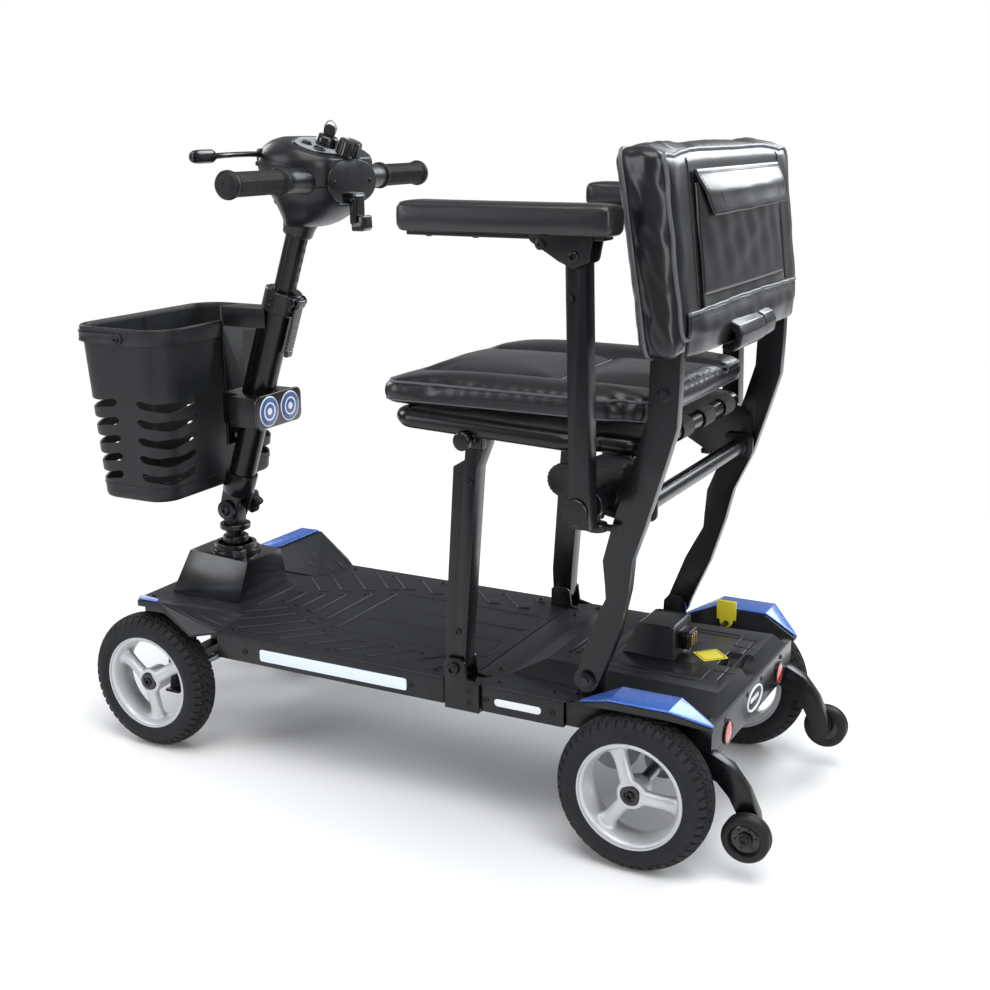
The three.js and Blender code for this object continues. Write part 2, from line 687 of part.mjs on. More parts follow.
// J-shaped hook on the rear face of the head
const bagHook = join(
  box(-9, 9, -511.5, -507, 740, 792), box(-9, 9, -508, -492, 740, 744.5),
  box(-9, 9, -496, -492, 740, 756));
add('bag_hook', bagHook, 'plastic');

// ---------- seat linkage ----------
function frontLeg() {
  const side = [
    [-275, 203], [-271.5, 194], [-262, 190], [-252.5, 194], [-248, 203], [-246, 240],
    [-229, 470], [-217, 500], [-217, 512], [-221, 521], [-230, 525], [-239, 521],
    [-243.5, 512], [-246, 480], [-262, 470], [-277, 240],
  ];
  return cut(prismX(150.4, 174.8, side), rodX(140, 190, ...LEG_PIVOT, 5.7, 12));
}
pair('front_leg', frontLeg(), 'frame');

// post bounded by its side and front outlines, with a gusset and the armrest's socket
function upright() {
  const side = [
    [-65, 214], [-61, 225], [-37, 284], [-21, 343], [-13, 387], [7, 435], [31, 513],
    [42, 552], [44, 605], [44, 640], [29, 818], [-6, 818], [9, 640], [8, 602], [7, 562],
    [-6, 518], [-33, 435], [-51, 382], [-51, 331], [-73, 286], [-94, 226], [-98, 214],
  ];
  const front = [
    [167, 190], [167, 235], [177, 300], [186, 350], [208, 440], [208, 830],
    [193, 830], [193, 440], [171, 350], [162, 300], [152, 235], [152, 190],
  ];
  const gusset = [
    [-108, 468], [-104, 488], [-60, 508], [-20, 512],
    [4, 490], [6, 440], [-26, 434], [-60, 440],
  ];
  const post = join(prismX(140, 215, side), rodX(140, 215, ...UPRIGHT_PIVOT, 16.5, 20))
    .intersect(prismY(-120, 60, front));
  return cut(
    join(post, prismX(184.5, 194, gusset), rodX(188, 240, ...ARM_SOCKET, 15, 16)),
    rodX(195.5, 250, ...ARM_SOCKET, 11.5, 16),
    rodX(140, 180, ...UPRIGHT_PIVOT, 5.7, 12),
    rodX(180, 200, ...LOCK_KNOB, 4.6, 12),
  );
}
pair('upright', upright(), 'frame');
add('cross_tube', rodX(-184.2, 184.2, -8, 450, 11, 12), 'frame');
const lockKnob = join(rodX(186, 201, ...LOCK_KNOB, 4, 12), rodX(200, 209, ...LOCK_KNOB, 16, 24));
pair('fold_lock_knob', lockKnob, 'plastic');

// ---------- seat ----------
// cushion with channels that slip over the uprights
function backrest() {
  const channel = [[2, 620], [50, 620], [50, 640], [35, 822], [-10, 822], [5.5, 640]];
  const cushion = wideHull([
    [225, 8, 640], [233, 5, 655], [225, 57, 640], [233, 55, 655],
    [233, -26, 845], [233, 33, 845], [224, -18, 862], [224, 27, 862],
  ]);
  return cut(cushion, twin(prismX, 190.5, 210.5, channel));
}
add('backrest', backrest(), 'leather');

// bent tube loop with a cross bar and the brackets and pins of the linkage
function seatFrame() {
  const path = [
    [0, -330, 530], [176, -330, 530], [194, -314, 529.6], [194, -96, 521],
    [172, -64, 519.5], [172, -26, 517], [160, -15, 516.5], [0, -15, 516],
  ];
  return join(
    bentBar(path, 11, 8), bentBar(mirrorX(path), 11, 8),
    box(-176, 176, -190, -170, 518, 528),
    twin(box, 175.4, 186, -243, -217, 500, 530),
    twin(box, 176, 181, -58, -32, 488, 515),
    twin(rodX, 180, 184, ...SEAT_PIVOT, 6, 12),
    twin(rodX, 185, 205, ...LEG_TOP, 7, 12),
    twin(box, 172, 190, -188, -172, 518, 528),
  );
}
add('seat_frame', seatFrame(), 'frame');

const cushionOutline = symmetric([
  [170, -372], [184, -366], [190, -352], [190, -50], [180, -38], [180, -10], [168, 2],
]);
add('seat_cushion', prismZ(546, 586, cushionOutline), 'leather');

// ---------- armrests ----------
function armrestPost() {
  const side = [[-57, 442], [-33, 442], [-41, 752], [-65, 752]];
  return cut(join(prismX(253.5, 276.5, side), rodX(197, 256, ...ARM_SOCKET, 11, 16)),
    rodX(250, 280, ...ARM_PIVOT, 5.2, 12));
}
pair('armrest_post', armrestPost(), 'frame');

// pad with two cheeks and a pin that hold it to the post
function armrestPad() {
  // x0, x1, y0, y1, z
  const sections = [
    [240, 288, -268, -14, 768], [246, 282, -274, -8, 770],
    [240, 288, -268, -14, 798], [244, 284, -274, -8, 800],
  ];
  const pad = hull(sections.flatMap(([x0, x1, y0, y1, z]) => (
    [[x0, y0, z], [x0, y1, z], [x1, y1, z], [x1, y0, z]])));
  const cheek = [[-120, 769], [-32, 769], [-38, 738], [-66, 735], [-78, 745]];
  return join(pad, prismX(278.2, 281.5, cheek), prismX(248.5, 251.8, cheek),
    rodX(249, 281, ...ARM_PIVOT, 4.6, 12));
}
pair('armrest_pad', armrestPad(), 'leather');

export default scooter;
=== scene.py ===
# Looks of a folding mobility scooter: fine meshes and procedural materials around its CAD frame.
# Lengths in the helpers are millimetres. x grows to the scooter's left, z is up, and y is counted
# from the rear axle: the front wheels lie towards -y.
import bpy
import bmesh
import json
import math
import numpy as np
from mathutils import Vector, Matrix
from mathutils.bvhtree import BVHTree
from mathutils.geometry import delaunay_2d_cdt

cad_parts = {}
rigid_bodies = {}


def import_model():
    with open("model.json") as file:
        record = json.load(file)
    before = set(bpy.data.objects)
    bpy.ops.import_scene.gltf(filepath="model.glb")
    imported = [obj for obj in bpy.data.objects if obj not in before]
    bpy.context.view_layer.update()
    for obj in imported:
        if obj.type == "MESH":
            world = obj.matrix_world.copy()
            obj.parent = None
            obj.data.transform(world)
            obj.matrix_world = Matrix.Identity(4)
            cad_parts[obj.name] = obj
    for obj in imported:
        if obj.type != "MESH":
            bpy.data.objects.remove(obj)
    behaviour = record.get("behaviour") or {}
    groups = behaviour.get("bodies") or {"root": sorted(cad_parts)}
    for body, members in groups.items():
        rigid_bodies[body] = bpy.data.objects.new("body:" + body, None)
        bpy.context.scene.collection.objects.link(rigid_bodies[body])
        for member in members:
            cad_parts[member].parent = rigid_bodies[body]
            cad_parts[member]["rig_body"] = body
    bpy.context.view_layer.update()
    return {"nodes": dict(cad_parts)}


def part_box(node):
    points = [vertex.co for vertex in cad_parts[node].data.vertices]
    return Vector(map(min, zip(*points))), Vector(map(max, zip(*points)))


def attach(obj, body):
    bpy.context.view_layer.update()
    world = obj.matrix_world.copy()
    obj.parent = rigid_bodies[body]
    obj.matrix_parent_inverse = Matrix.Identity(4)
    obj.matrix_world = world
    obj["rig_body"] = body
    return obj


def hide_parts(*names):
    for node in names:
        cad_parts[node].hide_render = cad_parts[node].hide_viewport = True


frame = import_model()
tyre_lo, tyre_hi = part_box("left_rear_tyre")
REAR_AXLE_Y = (tyre_lo.y + tyre_hi.y) / 2 * 1000.0
COL = bpy.context.scene.collection
MM = 0.001
SIDES = ((1, "left"), (-1, "right"))

WHEEL_R = 100.0
AXLE_Z = WHEEL_R
FRONT_AXLE_Y = -760
DECK_Z = 187.0              # top of the low deck covers
BOX_Z = 208                 # top of the raised part of the rear cover
PAN_X = 176                 # outer side faces of both pans
REAR_PANEL_Y = 83
STEM_Y = -744               # upright steering axis
TILT_Z = 316                # tilt joint, where the tiller starts


def world(points):
    """millimetres from the rear axle to metres in the CAD frame"""
    points = np.asarray(points, float).reshape(-1, 3) * MM
    points[:, 1] += REAR_AXLE_Y * MM
    return points


# ------------------------------------------------------------------ shapes: (verts, faces) parts
def merge(*parts):
    verts, faces, count = [], [], 0
    for v, f in parts:
        v = np.asarray(v, float).reshape(-1, 3)
        verts.append(v)
        faces += [tuple(i + count for i in q) for q in f]
        count += len(v)
    return np.vstack(verts), faces


def moved(part, fn):
    return np.array([fn(p) for p in np.asarray(part[0], float)]), part[1]


def flipx(part):
    verts = np.array(part[0], float)
    verts[:, 0] *= -1
    return verts, [tuple(reversed(f)) for f in part[1]]


def mirrored(part, side):
    """a part drawn at +x, placed on side +1 or -1"""
    return part if side > 0 else flipx(part)


def both_sides(part):
    return [part, flipx(part)]


def unit(vector):
    return vector / (np.linalg.norm(vector) or 1)


def turn(n):
    """n angles round a full turn"""
    return np.linspace(0, 2 * math.pi, n + 1)[:-1]


def signed_pow(x, e):
    return math.copysign(abs(x) ** e, x)


def loft_faces(rows, m, closed=False, caps=False):
    """quads between rows of m points each; every row is a closed loop"""
    faces = []
    for i in range(rows if closed else rows - 1):
        j = (i + 1) % rows
        for k in range(m):
            l = (k + 1) % m
            faces.append((i * m + k, i * m + l, j * m + l, j * m + k))
    if caps:
        faces += [tuple(reversed(range(m))), tuple(range((rows - 1) * m, rows * m))]
    return faces


def revolved_faces(n, m):
    """quads of a closed profile of m points turned in n steps"""
    faces = []
    for i in range(n):
        j = (i + 1) % n
        for k in range(m):
            l = (k + 1) % m
            faces.append((i * m + k, j * m + k, j * m + l, i * m + l))
    return faces


def basis(axis):
    a = np.asarray(axis, float)
    a = a / np.linalg.norm(a)
    helper = np.array([0, 0, 1.0]) if abs(a[2]) < 0.9 else np.array([1.0, 0, 0])
    u = np.cross(helper, a)
    u /= np.linalg.norm(u)
    return u, np.cross(a, u), a


def lathe(profile, origin, axis, n=48, hex_rings=()):
    """profile of (radius, height) turned about axis; rings in hex_rings follow a hexagon"""
    u, v, a = basis(axis)
    o = np.asarray(origin, float)
    verts, faces, rings = [], [], []
    for k, (r, h) in enumerate(profile):
        if r < 1e-6:
            verts.append(o + a * h)
            rings.append([len(verts) - 1])
            continue
        ring = []
        for i in range(n):
            t = 2 * math.pi * i / n
            rr = r
            if k in hex_rings:
                rr = r * math.cos(math.pi / 6) / math.cos((t % (math.pi / 3)) - math.pi / 6)
            verts.append(o + a * h + rr * (math.cos(t) * u + math.sin(t) * v))
            ring.append(len(verts) - 1)
        rings.append(ring)
    for A, B in zip(rings, rings[1:]):
        if len(A) == 1 and len(B) == 1:
            continue
        for i in range(n):
            j = (i + 1) % n
            if len(A) == 1:
                faces.append((A[0], B[j], B[i]))
            elif len(B) == 1:
                faces.append((A[i], A[j], B[0]))
            else:
                faces.append((A[i], A[j], B[j], B[i]))
    if max(abs(profile[0][k] - profile[-1][k]) for k in (0, 1)) >= 1e-6:
        if len(rings[0]) > 1:
            faces.append(tuple(reversed(rings[0])))
        if len(rings[-1]) > 1:
            faces.append(tuple(rings[-1]))
    return np.array(verts), faces


def ring_lathe(profile, origin, axis, n=96):
    """closed profile (first point not repeated) turned about axis"""
    u, v, a = basis(axis)
    P = np.array(profile, float)
    t = np.arange(n) * 2 * math.pi / n
    dirs = np.cos(t)[:, None] * u + np.sin(t)[:, None] * v
    verts = np.asarray(origin, float) + P[None, :, 1, None] * a
    verts = (verts + P[None, :, 0, None] * dirs[:, None, :]).reshape(-1, 3)
    return verts, revolved_faces(n, len(profile))


def cyl(p, q, r, n=32, bev=0.0):
    p, q = np.asarray(p, float), np.asarray(q, float)
    L = np.linalg.norm(q - p)
    b = min(bev, r * 0.9, L / 2)
    if b > 0:
        k = b * 0.29
        prof = [(0, 0), (r - b, 0), (r - k, k), (r, b), (r, L - b), (r - k, L - k), (r - b, L), (0, L)]
    else:
        prof = [(0, 0), (r, 0), (r, L), (0, L)]
    return lathe(prof, p, q - p, n)


def fillet(pts, r, seg=6, closed=False):
    """rounds the corners of a polyline; r is one radius or one for each point"""
    P = [np.asarray(p, float) for p in pts]
    n = len(P)
    out = []
    for i in range(n):
        if not closed and i in (0, n - 1):
            out.append(P[i])
            continue
        a, b, c = P[i - 1], P[i], P[(i + 1) % n]
        d1, d2 = a - b, c - b
        l1, l2 = np.linalg.norm(d1), np.linalg.norm(d2)
        d1, d2 = d1 / l1, d2 / l2
        ang = math.acos(max(-1, min(1, float(d1 @ d2))))
        if ang > math.pi - 0.02:
            out.append(b)
            continue
        rr = r[i] if isinstance(r, list) else r
        cut = min(rr / math.tan(ang / 2), l1 * 0.49, l2 * 0.49)
        rr = cut * math.tan(ang / 2)
        mid = (d1 + d2) / np.linalg.norm(d1 + d2)
        cen = b + mid * (rr / math.sin(ang / 2))
        v1, v2 = b + d1 * cut - cen, b + d2 * cut - cen
        arc = math.pi - ang
        for k in range(seg + 1):
            t = k / seg
            blend = math.sin((1 - t) * arc) * v1 + math.sin(t * arc) * v2
            out.append(cen + blend / (math.sin(arc) or 1e-9))
    return out


def sweep(path, section, closed=False, up=None, sizes=None):
    """section: (a, b) offsets, a along the side vector, b along the up vector"""
    P = np.array([np.asarray(p, float) for p in path])
    n = len(P)
    T = np.zeros_like(P)
    for i in range(n):
        a = P[i - 1] if (i > 0 or closed) else P[i]
        b = P[(i + 1) % n] if (i < n - 1 or closed) else P[i]
        T[i] = unit(b - a)
    verts = []
    if up is None:
        u = np.array([0, 0, 1.0]) if abs(T[0][2]) < 0.9 else np.array([1.0, 0, 0])
    for i in range(n):
        if up is not None:
            u = np.asarray(up, float)
        u = unit(u - T[i] * (u @ T[i]))
        side = np.cross(T[i], u)
        k = sizes[i] if sizes else 1.0
        for a, b in section:
            verts.append(P[i] + side * a * k + u * b * k)
    return np.array(verts), loft_faces(n, len(section), closed, caps=not closed)


def tube(path, r, n=20, closed=False, ry=None, up=None, domed=True):
    """round bar; domed ends step in slightly so they never read as cut"""
    ry = r if ry is None else ry
    section = [(r * math.cos(2 * math.pi * i / n), ry * math.sin(2 * math.pi * i / n))
               for i in range(n)]
    if closed or not domed:
        return sweep(path, section, closed, up)
    P = [np.asarray(p, float) for p in path]
    start, end = P[0] - P[1], P[-1] - P[-2]
    start /= np.linalg.norm(start)
    end /= np.linalg.norm(end)
    step = r * 0.25
    P = [P[0], P[0] - start * step] + P[1:-1] + [P[-1] - end * step, P[-1]]
    return sweep(P, section, False, up, [0.8] + [1.0] * (len(P) - 2) + [0.8])


def rbox(lo, hi, r, n=3, grid=(2, 2, 2)):
    """box with rounded edges; grid gives how many spans the flats have"""
    lo, hi = np.asarray(lo, float), np.asarray(hi, float)
    r = min(r, *(0.499 * (hi - lo)))
    ax = []
    for k in range(3):
        a = [lo[k] + r * (1 - math.tan(math.radians(45 * (1 - i / n)))) for i in range(n)]
        m = list(np.linspace(lo[k] + r, hi[k] - r, grid[k] + 1))
        b = [hi[k] - r * (1 - math.tan(math.radians(45 * (i + 1) / n))) for i in range(n)]
        ax.append(a + m + b)
    index, verts, faces = {}, [], []

    def vert(key):
        if key not in index:
            p = np.array([ax[k][key[k]] for k in range(3)])
            c = np.clip(p, lo + r, hi - r)
            d = p - c
            L = np.linalg.norm(d)
            index[key] = len(verts)
            verts.append(c + d / L * r if L > 1e-9 else p)
        return index[key]
    N = [len(a) - 1 for a in ax]
    for far in (0, 1):
        # two axes that span a face, the fixed axis, and the end whose winding is forward
        for u, v, w, forward in ((0, 1, 2, 1), (0, 2, 1, 0), (1, 2, 0, 1)):
            for i in range(N[u]):
                for j in range(N[v]):
                    quad = []
                    for di, dj in ((0, 0), (1, 0), (1, 1), (0, 1)):
                        key = [0, 0, 0]
                        key[u], key[v], key[w] = i + di, j + dj, far * N[w]
                        quad.append(vert(tuple(key)))
                    faces.append(tuple(quad if far == forward else quad[::-1]))
    return np.array(verts), faces


def side_box(side, x, y, z, r, n=3):
    """rounded box on one side; x, y and z are (low, high), x counted outwards"""
    xs = sorted((side * x[0], side * x[1]))
    return rbox((xs[0], y[0], z[0]), (xs[1], y[1], z[1]), r, n)


def plate(pts, h0, h1, axis, r=1.0, n=2):
    """outline extruded from h0 to h1 along axis, rims rounded; pts use the other two axes"""
    P = np.array(pts, float)
    area = 0.5 * np.sum(P[:, 0] * np.roll(P[:, 1], -1) - np.roll(P[:, 0], -1) * P[:, 1])
    if area < 0:
        P = P[::-1]
    m = len(P)
    outward = []
    for i in range(m):
        e1, e2 = P[i] - P[i - 1], P[(i + 1) % m] - P[i]
        n1, n2 = unit(np.array([e1[1], -e1[0]])), unit(np.array([e2[1], -e2[0]]))
        outward.append((n1 + n2) / max(1 + float(n1 @ n2), 0.35))
    outward = np.array(outward)
    arc = [math.radians(90 * i / n) for i in range(n + 1)]
    levels = [(r * (1 - math.sin(t)), h0 + r * (1 - math.cos(t))) for t in arc]
    levels += [(r * (1 - math.cos(t)), h1 - r * (1 - math.sin(t))) for t in arc]
    k = "xyz".index(axis)
    verts = [(*q[:k], h, *q[k:]) for inset, h in levels for q in P - outward * inset]
    return np.array(verts, float), loft_faces(len(levels), m, caps=True)


def round_poly(pts, r, seg=5):
    return [(p[0], p[1]) for p in fillet([(a, b, 0) for a, b in pts], r, seg, True)]


def round_rect(x0, x1, y0, y1, r, seg=5):
    return round_poly([(x0, y0), (x1, y0), (x1, y1), (x0, y1)], r, seg)


def ellipse(cx, cy, a, b, n=64, e=2.3):
    """superellipse outline with exponent e"""
    angles = [2 * math.pi * i / n for i in range(n)]
    return [(cx + a * signed_pow(math.cos(t), 2 / e), cy + b * signed_pow(math.sin(t), 2 / e))
            for t in angles]


def screw(p, axis, r, h):
    """button head screw with a hexagon socket"""
    s = r * 0.5
    prof = [(0, -0.6), (r, -0.6), (r, h * 0.35), (r * 0.93, h * 0.7), (r * 0.78, h * 0.93),
            (r * 0.62, h), (s, h), (s * 0.96, h * 0.35), (0, h * 0.3)]
    return lathe(prof, p, axis, 24, hex_rings=(6, 7))


def hexbolt(p, axis, r, h, washer=True):
    prof = [(0, 0), (r, 0), (r, h - 0.6), (r * 0.92, h), (0, h)]
    head = lathe(prof, p, axis, 24, hex_rings=(1, 2))
    if not washer:
        return head
    prof = [(0, -0.5), (r * 1.5, -0.5), (r * 1.5, 0.9), (r * 1.42, 1.2), (0, 1.2)]
    return merge(lathe(prof, p, axis, 28), head)


def side_heads(bag, side, rows, head=screw):
    """heads that face outwards on one side; rows are (x, y, z, radius, height)"""
    for x, y, z, r, h in rows:
        bag(head((side * x, y, z), (side, 0, 0), r, h))


def fluted(part, y, z, count, x_range, min_radius=0.0):
    """shallow flutes pressed round a part whose axis runs along x through y, z"""
    verts = part[0].copy()
    for v in verts:
        dy, dz = v[1] - y, v[2] - z
        if x_range[0] < abs(v[0]) < x_range[1] and math.hypot(dy, dz) > min_radius:
            k = 1 - 0.035 * (0.5 + 0.5 * math.cos(count * math.atan2(dz, dy)))
            v[1], v[2] = y + dy * k, z + dz * k
    return verts, part[1]


# ------------------------------------------------------------------ objects
def finish_object(ob, finish, body, smooth=38, replaces=()):
    material, own_slot = FINISHES[finish]
    me = ob.data
    me.materials.clear()
    me.materials.append(material)
    me.shade_smooth()
    if smooth < 179:
        me.set_sharp_from_angle(angle=math.radians(smooth))
    if replaces:
        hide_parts(*replaces)
    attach(ob, body)


def raw(name, part):
    verts, faces = part
    me = bpy.data.meshes.new(name)
    me.from_pydata(world(verts).tolist(), [], [list(q) for q in faces])
    me.update()
    bm = bmesh.new()
    bm.from_mesh(me)
    bmesh.ops.remove_doubles(bm, verts=bm.verts, dist=2e-6)
    bmesh.ops.recalc_face_normals(bm, faces=bm.faces)
    bm.to_mesh(me)
    bm.free()
    ob = bpy.data.objects.new(name, me)
    COL.objects.link(ob)
    return ob


def make(name, part, finish, body, smooth=38, replaces=()):
    """one object from a part or a list of parts"""
    if isinstance(part, list):
        part = merge(*part)
    finish_object(raw(name, part), finish, body, smooth, replaces)


def applied(ob):
    bpy.context.view_layer.update()
    dg = bpy.context.evaluated_depsgraph_get()
    ev = ob.evaluated_get(dg)
    me = bpy.data.meshes.new_from_object(ev, preserve_all_data_layers=True, depsgraph=dg)
    ob.modifiers.clear()
    old = ob.data
    ob.data = me
    if old.users == 0:
        bpy.data.meshes.remove(old)


def modify(ob, kind, **settings):
    """adds one modifier and applies it"""
    modifier = ob.modifiers.new(kind.lower(), kind)
    for key, value in settings.items():
        setattr(modifier, key, value)
    applied(ob)


def refine(node, finish, bevel=1.2, segs=2, angle=34, smooth=34):
    """a finer copy of a CAD node: facets merged, every hard edge rounded"""
    src = frame["nodes"][node]
    me = src.data.copy()
    me.name = node + "_fine"
    ob = bpy.data.objects.new(me.name, me)
    COL.objects.link(ob)
    bm = bmesh.new()
    bm.from_mesh(me)
    bmesh.ops.remove_doubles(bm, verts=bm.verts, dist=2e-5)
    bmesh.ops.dissolve_limit(bm, angle_limit=math.radians(0.6), verts=bm.verts, edges=bm.edges)
    bmesh.ops.recalc_face_normals(bm, faces=bm.faces)
    bm.to_mesh(me)
    bm.free()
    stored_normals = me.attributes.get("custom_normal")
    if stored_normals:
        me.attributes.remove(stored_normals)
    modify(ob, "BEVEL", width=bevel * MM, segments=segs, limit_method="ANGLE",
           angle_limit=math.radians(angle), miter_outer="MITER_ARC")
    finish_object(ob, finish, src["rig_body"], smooth, (node,))


class Bag:
    """collects small parts of one body and one finish into a single piece"""
    made = []

    def __init__(self, name, body, finish, smooth=38):
        self.name, self.body, self.finish, self.smooth = name, body, finish, smooth
        self.parts = []
        Bag.made.append(self)

    def __call__(self, *parts):
        self.parts += parts

    @staticmethod
    def flush():
        for bag in Bag.made:
            make(bag.name, bag.parts, bag.finish, bag.body, bag.smooth)


# ------------------------------------------------------------------ materials
class Nodes:
    """thin wrapper to write node trees in a few lines"""
    INPUTS = {"color": "Base Color", "rough": "Roughness", "metal": "Metallic",
              "spec": "Specular IOR Level", "coat": "Coat Weight", "coat_rough": "Coat Roughness",
              "sheen": "Sheen Weight", "sheen_rough": "Sheen Roughness",
              "glow_color": "Emission Color", "glow": "Emission Strength"}

    def __init__(self, name):
        self.material = bpy.data.materials.new(name)
        self.material.use_nodes = True
        self.tree = self.material.node_tree
        self.bsdf = self.tree.nodes["Principled BSDF"]
        self.coords = self.tree.nodes.new("ShaderNodeTexCoord").outputs["Object"]

    def add(self, kind, **settings):
        node = self.tree.nodes.new(kind)
        for key, value in settings.items():
            setattr(node, key, value)
        return node

    def put(self, socket, value):
        if isinstance(value, bpy.types.NodeSocket):
            self.tree.links.new(value, socket)
        elif isinstance(value, tuple) and len(value) == 3:
            socket.default_value = (*value, 1)
        else:
            socket.default_value = value

    def noise(self, scale, detail=4.0, rough=0.5, dist=0.0):
        n = self.add("ShaderNodeTexNoise")
        self.put(n.inputs["Vector"], self.coords)
        n.inputs["Scale"].default_value = scale
        n.inputs["Detail"].default_value = detail
        n.inputs["Roughness"].default_value = rough
        n.inputs["Distortion"].default_value = dist
        return n.outputs["Fac"]

    def voronoi(self, scale, feature="F1", output="Distance", random=1.0):
        n = self.add("ShaderNodeTexVoronoi", feature=feature)
        self.put(n.inputs["Vector"], self.coords)
        n.inputs["Scale"].default_value = scale
        n.inputs["Randomness"].default_value = random
        return n.outputs[output]

    def bands(self, scale, axis):
        n = self.add("ShaderNodeTexWave", wave_type="BANDS", bands_direction=axis)
        self.put(n.inputs["Vector"], self.coords)
        n.inputs["Scale"].default_value = scale
        n.inputs["Distortion"].default_value = 0.0
        return n.outputs["Fac"]

    def math(self, op, a, b):
        n = self.add("ShaderNodeMath", operation=op)
        self.put(n.inputs[0], a)
        self.put(n.inputs[1], b)
        return n.outputs[0]

    def mix(self, factor, a, b):
        n = self.add("ShaderNodeMix", data_type="RGBA", blend_type="MIX")
        self.put(n.inputs[0], factor)
        self.put(n.inputs[6], a)
        self.put(n.inputs[7], b)
        return n.outputs[2]

    def remap(self, value, source, target):
        n = self.add("ShaderNodeMapRange")
        self.put(n.inputs[0], value)
        for k, x in enumerate((*source, *target)):
            n.inputs[k + 1].default_value = x
        return n.outputs[0]

    def edge(self, pointiness=(0.52, 0.6)):
        """1 on convex edges, 0 on flats"""
        g = self.add("ShaderNodeNewGeometry")
        return self.remap(g.outputs["Pointiness"], pointiness, (0.0, 1.0))

    def cloudy(self, dark, light, scale, detail=3, rough=0.5):
        """two tones in soft clouds"""
        return self.mix(self.remap(self.noise(scale, detail, rough), (0.3, 0.7), (0, 1)), dark, light)

    def specks(self, color, speck, amount, source, scale, detail=5, rough=0.7):
        """a second tone wherever the noise rises through source"""
        noise = self.noise(scale, detail, rough)
        return self.mix(self.remap(noise, source, (0, amount)), color, speck)

    def worn(self, color, edge_color, amount, pointiness=(0.52, 0.6)):
        return self.mix(self.math("MULTIPLY", self.edge(pointiness), amount), color, edge_color)

    def uneven(self, scale, low, high):
        """a roughness that drifts between low and high"""
        return self.remap(self.noise(scale, detail=4, rough=0.6), (0.3, 0.7), (low, high))

    def bump(self, *layers):
        """each layer is (height, strength, distance)"""
        normal = None
        for height, strength, distance in layers:
            n = self.add("ShaderNodeBump")
            self.put(n.inputs["Height"], height)
            n.inputs["Strength"].default_value = strength
            n.inputs["Distance"].default_value = distance
            if normal:
                self.put(n.inputs["Normal"], normal)
            normal = n.outputs["Normal"]
        self.put(self.bsdf.inputs["Normal"], normal)
        return self.material

    def set(self, **values):
        for key, value in values.items():
            self.put(self.bsdf.inputs[self.INPUTS[key]], value)


def srgb(h):
    c = [int(h[i:i + 2], 16) / 255 for i in (0, 2, 4)]
    return tuple(x / 12.92 if x <= 0.04045 else ((x + 0.055) / 1.055) ** 2.4 for x in c)


def scaled(c, k):
    return tuple(min(1, x * k) for x in c)


def powder_coat(name, base, rough, metal, wear):
    m = Nodes(name)
    rubbed = m.remap(m.noise(60, detail=4, rough=0.65), (0.4, 0.62), (0, wear))
    c = m.cloudy(scaled(base, 0.85), scaled(base, 1.25), 9, rough=0.55)
    m.set(color=m.worn(c, (0.045, 0.047, 0.052), rubbed),
          rough=m.uneven(35, rough - 0.02, rough + 0.035), metal=metal, spec=0.32, coat=0.16,
          coat_rough=0.14)
    return m.bump((m.noise(1500, detail=2, rough=0.6), 0.10, 0.0005),
                  (m.noise(420, detail=3), 0.05, 0.001))


def plastic(name, base, rough, grain=1.0, scale=1500, coat=0.0):
    """grain is the depth of the moulded texture, scale its fineness"""
    m = Nodes(name)
    c = m.cloudy(scaled(base, 0.9), scaled(base, 1.15), 12, detail=4, rough=0.6)
    c = m.specks(c, scaled(base, 1.9), 0.12, (0.5, 0.85), scale=38)
    m.set(color=m.worn(c, scaled(base, 2.6), 0.35), rough=m.uneven(55, rough - 0.04, rough + 0.06),
          spec=0.33, coat=coat, coat_rough=0.18)
    return m.bump((m.voronoi(scale, "SMOOTH_F1"), 0.16 * grain, 0.0006),
                  (m.noise(700, detail=3, rough=0.6), 0.12 * grain, 0.0006),
                  (m.noise(14, detail=2), 0.05, 0.004))


def flake_paint(name, base, dark, rough):
    m = Nodes(name)
    c = m.mix(0.07, m.cloudy(dark, base, 10), m.voronoi(2600, output="Color"))
    m.set(color=m.worn(c, scaled(base, 1.7), 0.4), rough=m.uneven(60, rough - 0.05, rough + 0.07),
          metal=0.35, coat=0.5, coat_rough=0.12)
    return m.bump((m.noise(260, detail=2), 0.03, 0.001))


def leather(name, base, rough, pucker=1.0):
    """pucker is the depth of the broad creases"""
    m = Nodes(name)
    grain = m.remap(m.voronoi(620, "DISTANCE_TO_EDGE"), (0.0, 0.16), (0, 1))
    c = m.cloudy(scaled(base, 0.85), scaled(base, 1.2), 7)
    # darker cell borders of the grain, the low ground of its bump: painted shade in the grain's
    # recesses
    c = m.mix(m.remap(grain, (0, 1), (0.35, 0)), c, scaled(base, 0.45))
    m.set(color=m.worn(c, scaled(base, 2.2), 0.25, pointiness=(0.51, 0.58)),
          rough=m.uneven(30, rough - 0.03, rough + 0.04), spec=0.38, coat=0.3, coat_rough=0.16,
          sheen=0.02)
    return m.bump((grain, 0.12, 0.0003), (m.noise(2400, detail=2), 0.06, 0.0003),
                  (m.noise(46, detail=5, rough=0.6, dist=0.6), 0.03 * pucker, 0.003),
                  (m.noise(14, detail=3, dist=0.4), 0.05 * pucker, 0.006))


def rubber(name, base, rough, dust):
    m = Nodes(name)
    c = m.specks(base, scaled(base, 2.6), dust, (0.42, 0.75), scale=24, rough=0.65)
    m.set(color=m.worn(c, scaled(base, 2.4), 0.35), rough=m.uneven(90, rough - 0.1, rough + 0.08),
          spec=0.3)
    return m.bump((m.noise(900, rough=0.6), 0.22, 0.0005), (m.voronoi(1300), 0.10, 0.0005))


